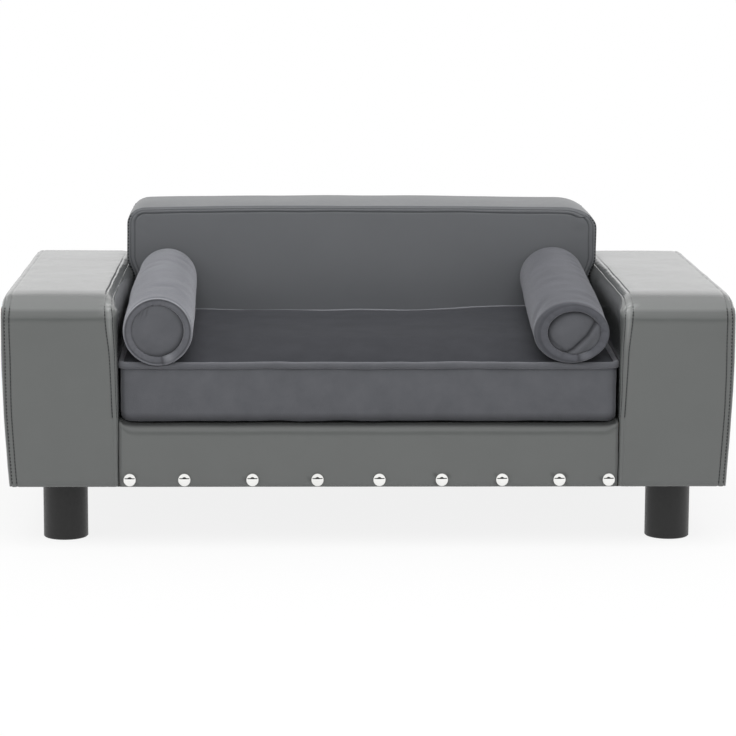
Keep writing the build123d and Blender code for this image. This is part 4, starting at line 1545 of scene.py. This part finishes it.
@dataclass
class Bolster:
    """A loose bolster: a plush sleeve whose ends turn in to a sunken round cap."""

    hand: Hand
    line: BolsterLine
    seed: float
    folds: tuple[Fold, ...]
    cap_shift: Pair = (0.0, 0.0)
    cap_radius: float = 28.6
    cap_rings: int = 34
    cap_sides: int = 96
    roll: float = 7.0
    sink: float = 3.6
    # Where round the cap its seam lies deepest, and where the sleeve is knotted and pinched
    shaded: float = -0.7
    knot_angle: float = 4.86
    pinch_angle: float = 5.1
    pinch_depth: float = 1.6
    # How far in from its outline the sleeve's end has its groove, its crest and its dark rim
    groove_in: float = 0.55
    crest_in: float = 1.3
    rim_in: float = 2.9
    broad_rumple: Swell = Swell(70, 0.7)
    fine_rumple: Swell = Swell(26, 0.15, 3)
    gathers: Swell = Swell(19, 0.6, 1)
    puffed: bool = False
    finish: str = "plush_lit"
    sides: int = 144
    filling: Filling = field(default_factory=lambda: Filling(pressure=3.0, cap=1.6))

    def place(self, along: Array, angle: Array, radius: Array) -> Array:
        """Turn places along and round the bolster into world points."""
        start, ahead, across, up = self.line.frame()
        squash, size = self.line.squash(along), self.line.size(along)
        # Towards the front end the ring shifts across, so the roll is fuller on one side
        inner = smooth((self.line.radius - radius) / 3.5) * np.exp(-np.clip(along, 0, None) / 9)
        aside = radius * size * (1 + squash * 0.75) * np.cos(angle) + self.cap_shift[0] * inner
        above = radius * size * (1 - squash) * np.sin(angle) + self.cap_shift[1] * inner
        above -= self.line.sag(along)
        return start + along[:, None] * ahead + aside[:, None] * across + above[:, None] * up

    def profile(self) -> Array:
        """Radius and place of each ring of the sleeve, from the front cap's edge to the rear's."""
        r, length, roll, hole = self.line.radius, self.line.length, self.roll, self.cap_radius
        half = [(hole - 0.4, self.sink + 2.4), (hole - 0.2, self.sink + 0.6)]
        half.append((hole, self.sink - 1.2))
        if self.puffed:
            half += [(hole + 0.5, 1.0), (hole + 1.5, -0.6), (hole + 3.4, -1.6), (hole + 6.0, -1.9)]
            half += [(r - 4.6, -1.7), (r - 3.4, -1.1), (r - 2.3, -0.2), (r - 1.4, 0.9)]
            half.append((r - 0.7, 2.3))
        else:
            half += [(hole + 0.5, 1.3), (hole + 1.3, 0.5), (hole + 2.6, 0.05)]
            half += [(r - roll * 0.65, -0.1), (r - 3.2, 0.2), (r - 2.4, 0.2), (r - 1.9, -0.45)]
            half += [(r - 1.4, -0.6), (r - 0.9, -0.3), (r - 0.5, 0.5), (r - 0.35, 1.2)]
            half += [(r - 0.55, 1.8), (r - 0.3, 2.6), (r - 0.1, 4.0)]
        half.append((r, 5.6))
        shares = np.linspace(0, 1, 96)[1:-1]
        body = [(r + 0.8 * math.sin(math.pi * s), roll + (length - 2 * roll) * s) for s in shares]
        return np.array(half + body + [(a, length - b) for a, b in half[::-1]])

    def build(self, palette: Palette) -> list[Object]:
        """Make the sleeve and both caps.

        Args:
            palette: The sofa's finishes.

        Returns:
            The sleeve, the front cap and the rear cap.
        """
        name = self.hand.value
        parts = [self.sleeve(palette), self.cap(palette, True), self.cap(palette, False)]
        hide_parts(f"{name}_bolster_sleeve", f"{name}_bolster_core")
        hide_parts(f"{name}_bolster_front_cap")
        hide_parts(f"{name}_bolster_rear_cap")
        for piece in parts:
            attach(piece, f"{name}_bolster")
            LOG.info("bolster piece %s, %d faces", piece.name, len(piece.data.polygons))
        return parts

    def sleeve(self, palette: Palette) -> Object:
        """The sleeve: blown up, folded, and gathered round each cap."""
        rings, length = self.profile(), self.line.length
        radius, along = (np.repeat(rings[:, i], self.sides) for i in (0, 1))
        angle = np.tile(np.linspace(0, 2 * math.pi, self.sides, endpoint=False), len(rings))
        faces = ring_faces(len(rings), self.sides)
        points = self.place(along, angle, radius)
        closed = face_outwards(points, faces + end_faces(len(rings), self.sides))
        firm = (np.abs(along - length / 2) > length / 2 - 9).astype(float)
        points = self.filling.blow(points, closed, firm)
        end = np.minimum(along, length - along)
        points = self.folded(points, along, angle, end)
        # The ring round the cap is gathered by its seam, and closed with a knot at the foot
        around = np.zeros_like(points)
        around[:, 0], around[:, 1] = angle * 40, self.seed * 50
        pleat = np.abs(swell(around, 5.5, self.seed)) + self.gathers.over(around, self.seed)
        ring = smooth((self.line.radius - 1.5 - radius) / 1.5) * (end < 6)
        knot = hill(turned_from(angle, self.knot_angle), 0, 0.05) * (end < 3)
        pinch = hill(turned_from(angle, self.pinch_angle), 0, 0.17) * ring
        inward = pleat * ring + knot * self.pinch_depth - pinch * self.pinch_depth
        inward *= np.where(along < length / 2, 1.0, -1.0)
        points = points + self.line.frame()[1] * inward[:, None]
        faces = face_outwards(points, faces)
        name = f"{self.hand.value}_bolster_plush"
        made = make_object(name, points, faces, palette[self.finish])
        off = radius - self.line.radius
        in_groove = hill(off, -self.groove_in, 0.16) * (np.abs(end - 1.8) < 0.5)
        rim = np.maximum(hill(off, -self.rim_in, 0.8) * (end < 1), in_groove)
        inside = smooth((self.sink + 1 - np.abs(end - self.sink - 1)) / 3)
        inside *= (radius < self.cap_radius + 0.1) * self.shade(angle)
        crest = hill(off, -self.crest_in, 0.7) * (end < 1)
        crest *= 0.08 + 0.8 * np.clip(np.sin(angle) + 0.3, 0, 1)
        # A non-puffed ring is painted darker all round and gets painted highlights at its crest and
        # pinch; a puffed ring gets neither darkening nor crest highlight, and a faint painted
        # highlight at the pinch
        level, crest_share, pinch_share = (0.0, 0.0, 0.1) if self.puffed else (0.3, 1.0, 0.25)
        # Painted shade in the groove inside the rim, at the knot and where the cap sinks under the
        # ring
        dark = 0.7 * rim + 0.7 * knot + 0.85 * inside + level * ring
        mark(made, "seam_and_painted_shade", np.clip(dark, 0, 1))
        # Painted highlight on the ring's crest and at its pinch
        mark(made, "raised", np.clip(np.maximum(crest * crest_share, pinch * pinch_share), 0, 1))
        return made

    def folded(self, points: Array, along: Array, angle: Array, end: Array) -> Array:
        """Fold and rumple the sleeve between its ends, except where it lies on the cushion."""
        start, ahead, _, up = self.line.frame()
        outward = points - (start + along[:, None] * ahead - self.line.sag(along)[:, None] * up)
        outward /= np.linalg.norm(outward, axis=1, keepdims=True) + LEAST
        depth = self.broad_rumple.over(points, self.seed) + self.fine_rumple.over(points, self.seed)
        for fold in self.folds:
            depth += fold.over(along, angle, self.line.radius)
        depth *= smooth((end - 5) / 18) * (1 - np.clip(-np.sin(angle) * 1.6, 0, 1))
        return points + outward * depth[:, None]

    def shade(self, angle: Array) -> Array:
        """How deep the cap's seam lies round it, from 0.15 to 1."""
        return 0.15 + 0.85 * (0.5 + 0.5 * np.cos(angle - self.shaded)) ** 1.3

    def cap_creases(self, a: Array, b: Array) -> tuple[Array, Array]:
        """How deep the filling's creases lie in the front cap, and how much painted shade lies in
        them.
        """
        depth, crease = np.zeros_like(a), np.zeros_like(a)
        if self.hand is Hand.RIGHT:
            # The filling has slipped: a lip runs from the upper right down to the knot
            lip = ((24.5, 18), (23, 14), (19.4, 7.5), (13.8, -3.6), (6.9, -11.9), (0, -20.2))
            gap = from_line(a, b, (*lip, (-8.3, -27.1)))
            depth += np.where(gap > 0, 3.4 * np.exp(-gap / 5.0), 1.2 * np.exp(gap / 2.5))
            depth -= np.where(gap < 0, 1.9 * hill(gap, -4.2, 3.6), 0)
            crease = hill(gap, 0.4, 1.5)
            chord = from_line(a, b, ((-27, 0), (-22.5, -11), (-12, -21), (-8, -27)))
            depth += 1.2 * hill(chord, 0, 1.6)
            # The disc lies deeper on the upper left, under the ring
            return depth + 2.0 * hill(a, -20, 12) * hill(b, 14, 16), crease
        for at, tilt in ((-19.5, 0.5), (-16.5, 0.35), (-12.0, 0.2)):
            tick = hill((a - at) - tilt * (b - 20), 0, 0.8) * smooth((b - 13) / 6)
            depth += 0.9 * tick
            crease = np.maximum(crease, 0.4 * tick)
        return depth + 1.2 * hill(a, 20, 12) * hill(b, -14, 16), crease

    def cap(self, palette: Palette, front: bool) -> Object:
        """One end cap: a disc of plush, puffed in the middle and creased by its filling.

        Args:
            palette: The sofa's finishes.
            front: Whether it closes the front end.

        Returns:
            The cap.
        """
        rings, sides = self.cap_rings, self.cap_sides
        radius = np.repeat(np.linspace(0, 1, rings + 1)[1:] * (self.cap_radius + 0.2), sides)
        angle = np.tile(np.linspace(0, 2 * math.pi, sides, endpoint=False), rings)
        share = radius / self.cap_radius
        a, b = radius * np.cos(angle), radius * np.sin(angle)
        flat = np.stack([a, b, np.full_like(a, self.seed * 10)], 1)
        # It lies deep where its seam is pulled in, and fills the ring elsewhere
        puff = self.sink * (1 - self.shade(angle) * share**4)
        puff += swell(flat, 15, self.seed) * 0.5 * (1 - share**3)
        depth, crease = self.cap_creases(a, b) if front else (0.0, np.zeros_like(a))
        along = self.sink - puff + depth + 0.5
        if not front:
            along = self.line.length - along
        last = (rings - 1) * sides
        skirt = self.place(along[last:] + (3 if front else -3), angle[last:], radius[last:])
        centre = self.place(np.full(1, np.mean(along[:sides])), np.zeros(1), np.zeros(1))
        points = np.vstack([self.place(along, angle, radius), skirt, centre])
        faces = ring_faces(rings + 1, sides) + end_faces(rings + 1, sides)[1:]
        faces += [(len(points) - 1, (i + 1) % sides, i) for i in range(sides)]
        name = f"{self.hand.value}_bolster_{'front' if front else 'rear'}_disc"
        piece = make_object(name, points, face_outwards(points, faces), palette["plush"])
        # Painted shade in the groove round the disc and in its creases; the skirt is painted fully
        # dark, the middle not at all
        edge = hill(share, 1, 0.04 + 0.09 * self.shade(angle)) * 0.9 * self.shade(angle)
        dark = np.concatenate([np.maximum(edge, crease), np.ones(sides), np.zeros(1)])
        mark(piece, "seam_and_painted_shade", dark)
        return piece


# ---------------------------------------------------------------- underside, deck and zip


@dataclass(frozen=True)
class ClothSheet:
    """A stretched sheet of cloth with a little slack in it.

    low and high are its corners in X and Y, z the height of its underside at the edges and
    sag how far its slack hangs.
    """

    name: str
    low: Pair
    high: Pair
    z: float
    thickness: float
    sag: float
    seed: float
    columns: int = 90
    rows: int = 54

    @property
    def flat_size(self) -> Pair:
        """Its flat size in metres."""
        return ((self.high[0] - self.low[0]) * MM, (self.high[1] - self.low[1]) * MM)

    def build(self, finish: Material) -> Object:
        """Make the sheet as a closed thin piece.

        Args:
            finish: Its material.

        Returns:
            The new object.
        """
        low, high, nx, ny = self.low, self.high, self.columns, self.rows
        xs, ys = np.linspace(low[0], high[0], nx), np.linspace(low[1], high[1], ny)
        gx, gy = np.meshgrid(xs, ys, indexing="ij")
        flat = np.stack([gx.ravel(), gy.ravel(), np.zeros(gx.size)], 1)
        edge = np.minimum(flat[:, :2] - low, np.array(high) - flat[:, :2]).min(1)
        slack = (swell(flat, 60, self.seed) * 0.35 - 0.5) * self.sag * smooth(edge / 40)
        under = flat.copy()
        under[:, 2] = self.z + slack
        points = np.vstack([under, under + np.array([0, 0, self.thickness])])
        total = nx * ny
        faces = []
        for a in (i * ny + j for i in range(nx - 1) for j in range(ny - 1)):
            faces.append((a, a + 1, a + ny + 1, a + ny))
            faces.append(tuple(total + k for k in (a, a + ny, a + ny + 1, a + 1)))
        border = [i * ny for i in range(nx)] + [(nx - 1) * ny + j for j in range(1, ny)]
        border += [i * ny + ny - 1 for i in range(nx - 2, -1, -1)] + list(range(ny - 2, 0, -1))
        for a, b in zip(border, border[1:] + border[:1]):
            faces.append((a, b, total + b, total + a))
        return make_object(self.name, points, face_outwards(points, faces), finish)


@dataclass
class Underside:
    """The stapled dust cover under the sofa."""

    repeats: Repeats
    palette: Palette
    half_x: float = 388.5
    low_y: float = -215.25
    high_y: float = 219.75
    z: float = 68.0
    staple_pitch: float = 42.0
    staple_inset: float = 7.0
    staple_half: Triple = (5.0, 0.35, 0.25)

    def build(self) -> list[Object]:
        """Make the dust cover and its row of staples.

        Returns:
            Both pieces.
        """
        low, high = (-self.half_x, self.low_y), (self.half_x, self.high_y)
        sheet = ClothSheet("dust_cover_cloth", low, high, self.z, 0.8, sag=1.2, seed=5.0)
        cover = sheet.build(self.palette["nonwoven"])
        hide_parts("dust_cover")
        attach(cover, "frame")
        x, z = self.half_x - self.staple_inset, self.z - 0.2
        y0, y1 = self.low_y + self.staple_inset, self.high_y - self.staple_inset
        loop = np.array([(-x, y0, z), (x, y0, z), (x, y1, z), (-x, y1, z), (-x, y0, z)])
        staple = small_bar("staple", self.staple_half)
        steel = self.palette["zinc_steel"]
        staples = self.repeats.lay("dust_cover_staples", [loop], staple, steel, self.staple_pitch)
        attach(staples, "frame")
        return [cover, staples]


@dataclass
class DeckLining:
    """The non-woven lining on the seat deck, seen when the cushion is lifted out."""

    palette: Palette
    z: float = 139.9
    side_gap: float = 0.4
    rear_gap: float = 0.2

    def build(self) -> Object:
        """Make the lining."""
        low = (-INNER_X + self.side_gap, FRONT_Y + RAIL_DEPTH)
        high = (INNER_X - self.side_gap, BACK_Y - self.rear_gap)
        sheet = ClothSheet("deck_lining_cloth", low, high, self.z, 0.7, sag=-0.25, seed=8.0)
        piece = sheet.build(self.palette["nonwoven"])
        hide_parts("seat_deck_lining")
        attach(piece, "frame")
        return piece


@dataclass
class Zip:
    """The closed zip across the cushion's rear boxing: a coil on woven tape."""

    repeats: Repeats
    palette: Palette
    half_length: float = 200.0
    rear_y: float = 106.25
    height: float = 178.0
    coil_stand: float = 0.95
    tooth_pitch: float = 1.7

    def build(self) -> list[Object]:
        """Make the tape and the coil.

        Returns:
            Both pieces.
        """
        xs = np.linspace(-self.half_length, self.half_length, 120)
        # The tape's section: height, and how far it stands off the boxing
        section = [(-9, 0.0), (-8.6, 0.45), (-2.6, 0.5), (2.6, 0.5), (8.6, 0.45), (9, 0.0)]
        section += [(2.6, -0.4), (-2.6, -0.4)]
        points = np.array([(x, self.rear_y + y, self.height + z) for x in xs for z, y in section])
        faces = ring_faces(len(xs), len(section)) + end_faces(len(xs), len(section))
        nylon = self.palette["zip_nylon"]
        tape = make_object("zip_tape", points, face_outwards(points, faces), nylon)
        tooth = lathe("tooth", [(0, -1.9), (0.5, -1.6), (0.62, 0), (0.5, 1.6), (0, 1.9)], 6)
        end_x, coil_y = self.half_length * 0.995, self.rear_y + self.coil_stand
        ends = np.array([(-end_x, coil_y, self.height), (end_x, coil_y, self.height)])
        coil = self.repeats.lay("zip_coil", [ends], tooth, nylon, self.tooth_pitch)
        for piece in (tape, coil):
            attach(piece, "seat_cushion")
        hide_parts("seat_zip_chain")
        return [tape, coil]


# ---------------------------------------------------------------- the room


@dataclass(frozen=True)
class Lamp:
    """One soft square lamp: where it hangs, what it lights, its size and its power."""

    name: str
    place: Triple
    aim: Triple
    size: float
    power: float

    def hang(self) -> None:
        """Hang the lamp, out of sight of polished metal."""
        light = bpy.data.lights.new(self.name, "AREA")
        light.size = self.size
        light.energy = self.power
        lamp = bpy.data.objects.new(self.name, light)
        lamp.visible_glossy = False
        lamp.location = self.place
        way = Vector(self.aim) - Vector(self.place)
        lamp.rotation_euler = way.to_track_quat("-Z", "Y").to_euler()
        bpy.context.scene.collection.objects.link(lamp)


LAMPS = (
    Lamp("overhead", (0.1, -1.3, 2.6), (0, 0, 0.1), 2.6, 46),
    Lamp("front_left", (-2.6, -1.9, 1.9), (0, 0, 0.2), 1.6, 15),
    Lamp("front_right", (2.6, -1.9, 1.7), (0, 0, 0.2), 1.6, 9),
    Lamp("front_low", (0.0, -3.6, 1.0), (0, 0.1, 0.24), 1.2, 7),
)


@dataclass
class Studio:
    """The pale floor, the soft lamps and the camera at the photograph's place."""

    camera_at: Triple = (-0.0850, -3.2781, 0.6925)
    yaw: float = 0.0273
    pitch: float = 0.1589
    roll: float = 0.0044
    lens: float = 137.34
    floor_half: float = 30000.0
    # How bright the room is to the sofa, against 1.0 to the eye
    room_light: float = 0.58

    def build(self) -> None:
        """Set the whole stage."""
        self.view()
        self.floor()
        self.world()
        for lamp in LAMPS:
            lamp.hang()

    def view(self) -> None:
        """Place the camera."""
        cos_yaw, sin_yaw = math.cos(self.yaw), math.sin(self.yaw)
        cos_pitch, sin_pitch = math.cos(self.pitch), math.sin(self.pitch)
        forward = Vector((sin_yaw * cos_pitch, cos_yaw * cos_pitch, -sin_pitch))
        right = Vector((cos_yaw, -sin_yaw, 0))
        up = right.cross(forward)
        cos_roll, sin_roll = math.cos(self.roll), math.sin(self.roll)
        right, up = right * cos_roll + up * sin_roll, up * cos_roll - right * sin_roll
        camera = bpy.data.objects.new("camera", bpy.data.cameras.new("camera"))
        bpy.context.scene.collection.objects.link(camera)
        columns = (right, up, -forward, Vector(self.camera_at))
        camera.matrix_world = Matrix([[c[i] for c in columns] for i in range(3)] + [(0, 0, 0, 1)])
        camera.data.lens = self.lens
        camera.data.sensor_width = 36
        bpy.context.scene.camera = camera
        bpy.context.scene.view_settings.view_transform = "Standard"

    def floor(self) -> None:
        """A plain pale floor that goes white to the eye and keeps the sofa's shadow."""
        half = self.floor_half
        corners = np.array([(-half, -half, 0), (half, -half, 0), (half, half, 0), (-half, half, 0)])
        floor = make_object("floor", corners, [(0, 1, 2, 3)])
        material = bpy.data.materials.new("pale_floor")
        material.use_nodes = True
        tree = material.node_tree
        shader = tree.nodes["Principled BSDF"]
        matt = {"Base Color": srgb("#f4f4f4"), "Roughness": 0.9, "Specular IOR Level": 0.0}
        fill_inputs(tree, shader, matt)
        # Close to the sofa the floor keeps some shadow, and further off it is as white as the room
        place = add_node(tree, "ShaderNodeTexCoord").outputs["Object"]
        away = add_node(tree, "ShaderNodeVectorMath", {0: place}, operation="LENGTH")
        whiter = ramp(tree, away.outputs["Value"], (0.35, 1.4), (0.86, 1.0))
        share = calculate(tree, "MULTIPLY", self.seen(tree), whiter)
        glow = add_node(tree, "ShaderNodeEmission", {"Color": (1, 1, 1, 1), "Strength": 1.0})
        both = {"Fac": share, 1: shader.outputs["BSDF"], 2: glow.outputs["Emission"]}
        mixed = add_node(tree, "ShaderNodeMixShader", both)
        fill_inputs(tree, tree.nodes["Material Output"], {"Surface": mixed.outputs["Shader"]})
        floor.data.materials.append(material)

    @staticmethod
    def seen(tree: NodeTree) -> NodeSocket:
        """1 for rays from the eye, and for what metal and glass show, else 0."""
        rays = add_node(tree, "ShaderNodeLightPath").outputs
        first = calculate(tree, "MAXIMUM", rays["Is Camera Ray"], rays["Is Glossy Ray"])
        return calculate(tree, "MAXIMUM", first, rays["Is Transmission Ray"])

    def world(self) -> None:
        """A white room."""
        world = bpy.data.worlds.new("white_room")
        bpy.context.scene.world = world
        world.use_nodes = True
        tree = world.node_tree
        way = add_node(tree, "ShaderNodeTexCoord").outputs["Generated"]
        x, y, z = add_node(tree, "ShaderNodeSeparateXYZ", {"Vector": way}).outputs
        # Behind the sofa the white backdrop ends at about twelve degrees, and the ceiling is duller
        ceiling = ramp(tree, z, (0.22, 0.62), (0.0, 0.32))
        dull = calculate(tree, "MULTIPLY", ceiling, ramp(tree, y, (-0.3, 0.2)))
        # Low in front stands the dark side of the room, highest behind the eye, which polished
        # metal shows as its horizon
        skyline = ramp(tree, calculate(tree, "ABSOLUTE", x), (0.12, 0.4), (0.4, 0.2))
        low = ramp(tree, calculate(tree, "SUBTRACT", skyline, z), (0.0, 0.05))
        dark = calculate(tree, "MULTIPLY", low, ramp(tree, y, (-0.2, -0.5), (0.0, 0.97)))
        mirrored = calculate(tree, "SUBTRACT", 1.0, calculate(tree, "ADD", dull, dark))
        glossy = add_node(tree, "ShaderNodeLightPath").outputs["Is Glossy Ray"]
        shown = add_node(tree, "ShaderNodeMix", {"Factor": glossy, 2: 1.0, 3: mirrored})
        lit = {"Factor": self.seen(tree), 2: self.room_light, 3: shown.outputs[0]}
        level = add_node(tree, "ShaderNodeMix", lit).outputs[0]
        white = {"Color": (1, 1, 1, 1), "Strength": level}
        fill_inputs(tree, tree.nodes["Background"], white)


# ---------------------------------------------------------------- the whole sofa


def dress_nodes(frame: dict, palette: Palette) -> None:
    """Give every CAD node the finish of its slot.

    Args:
        palette: The sofa's finishes.
    """
    slots = {part["node"]: part["material_slot"] for part in frame["record"]["subparts"]}
    for node, piece in frame["nodes"].items():
        piece.data.materials.clear()
        piece.data.materials.append(palette[slots[node]])
        LOG.info("finish %s on %s", slots[node], node)


def cover(block: SewnBlock, finish: Material, *nodes: str) -> None:
    """Build one leather cover and let it stand for its nodes."""
    piece = block.build(finish)
    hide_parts(*nodes)
    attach(piece, "frame")
    LOG.info("cover %s, %d faces", piece.name, len(piece.data.polygons))


def corners(top_low: Pair, top_high: Pair, foot: Pair = (4, 4)) -> dict[tuple[int, int], Pair]:
    """Two radii for each corner of a block's outline: both at the top, then those at the foot."""
    return {(-1, 1): top_low, (1, 1): top_high, (-1, -1): foot, (1, -1): foot}


def build_arms(palette: Palette, stitching: Stitching) -> None:
    """Build both arms with their stitches."""
    for hand in Hand:
        arm = Arm(
            name=f"{hand.value}_arm_leather",
            low=(FRONT_Y, HEM_Z, INNER_X), high=(REAR_Y, ARM_TOP, HALF_WIDTH), axes=(1, 2, 0),
            corners=corners((36, 17), (14, 14)),
            lines=(SewnLine(2.8), SewnLine(14.0, 0.5), SewnLine(118.0, 0.5), SewnLine(125.2)),
            seed=1.0 if hand is Hand.RIGHT else 2.0, wander=0.7, mirrored=hand is Hand.LEFT,
        )
        cover(arm, palette["faux_leather"], f"{hand.value}_arm_cover", f"{hand.value}_arm_foam")
        runs = [arm.run(14.0, foot=80), arm.run(2.8, foot=80), arm.run(118.0), arm.run(123.4)]
        stitching.sew(f"{hand.value}_arm_stitches", runs)


def build_back_and_rail(palette: Palette, stitching: Stitching) -> None:
    """Build the backrest with its stitches, and the front rail's cover."""
    twin_needle = (SewnLine(-9.4, 0.6, 0.8), SewnLine(-4.3, 0.7, 0.8), SewnLine(3.2, 0.4, 0.6))
    back = Backrest(
        name="backrest_leather",
        low=(-INNER_X, HEM_Z, BACK_Y), high=(INNER_X, BACK_TOP, REAR_Y), axes=(0, 2, 1),
        corners=corners((22, 22), (40, 27)), lines=(*twin_needle, SewnLine(115.0)),
        seed=6.0, wander=0.9,
    )
    cover(back, palette["faux_leather_cool"], "back_cover", "back_foam")
    stitching.sew("backrest_stitches", [back.run(-4.3), back.run(3.2), back.run(113.0)])
    end_x, rear_y = INNER_X - 0.2, FRONT_Y + RAIL_DEPTH
    rail = FrontRail(
        name="front_rail_leather",
        low=(-end_x, HEM_Z, FRONT_Y), high=(end_x, RAIL_TOP, rear_y), axes=(0, 2, 1),
        corners=corners((2, 2), (2, 2), (2, 2)), seed=9.0,
    )
    cover(rail, palette["faux_leather"], "front_rail_cover", "front_rail_foam")


def build_bolsters(palette: Palette) -> None:
    """Build both loose bolsters, each with folds of its own."""
    left_folds = (
        Fold(196, 1.95, 0.25, 22, 10, 0.6), Fold(228, 1.6, -0.2, 22, 10, 0.4),
        Fold(66, 1.35, 0.5, 18, 9, 0.45), Fold(96, 0.65, 0.9, 22, 9, 0.6),
        Fold(150, 0.5, 1.2, 34, 10, 0.5), Fold(272, 0.8, 0.4, 18, 9, 0.5),
    )
    right_folds = (
        Fold(292, 0.75, 0.6, 15, 7, 0.9), Fold(262, 0.6, 0.7, 17, 8, 1.1),
        Fold(236, 0.75, 0.5, 15, 7, 0.9), Fold(205, 0.55, 0.7, 17, 8, 0.9),
        Fold(168, 0.7, 0.5, 16, 9, 0.6), Fold(118, 1.9, -0.3, 24, 13, 0.5),
        Fold(52, 1.0, 0.3, 20, 10, 0.7), Fold(34, 2.6, 0.9, 20, 8, 0.9),
    )
    Bolster(Hand.LEFT, LEFT_LINE, 3.0, left_folds).build(palette)
    Bolster(
        Hand.RIGHT, RIGHT_LINE, 7.0, right_folds, finish="plush_dull",
        cap_shift=(3.3, 0.4), cap_radius=26.6, sink=6.2, shaded=2.5, puffed=True,
    ).build(palette)


def main() -> None:
    """Build the sofa's looks in order."""
    logging.basicConfig(level=logging.INFO, format="%(name)s: %(message)s")
    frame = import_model()
    palette = Palette()
    repeats = Repeats()
    stitching = Stitching(repeats, palette)
    Studio().build()
    dress_nodes(frame, palette)
    build_arms(palette, stitching)
    build_back_and_rail(palette, stitching)
    NailRow(repeats, palette).build()
    cushion = SeatCushion(
        name="seat_cushion_plush",
        low=(-275.0, -219.5, 141.35), high=(275.0, 106.25, 211.75), axes=(0, 1, 2),
        corners=corners((11, 11), (11, 11), (11, 11)), step=6.0, seed=12.0,
    )
    cushion.dress(palette)
    Zip(repeats, palette).build()
    build_bolsters(palette)
    Underside(repeats, palette).build()
    DeckLining(palette).build()
    bpy.context.view_layer.update()


if __name__ == "__main__":
    main()
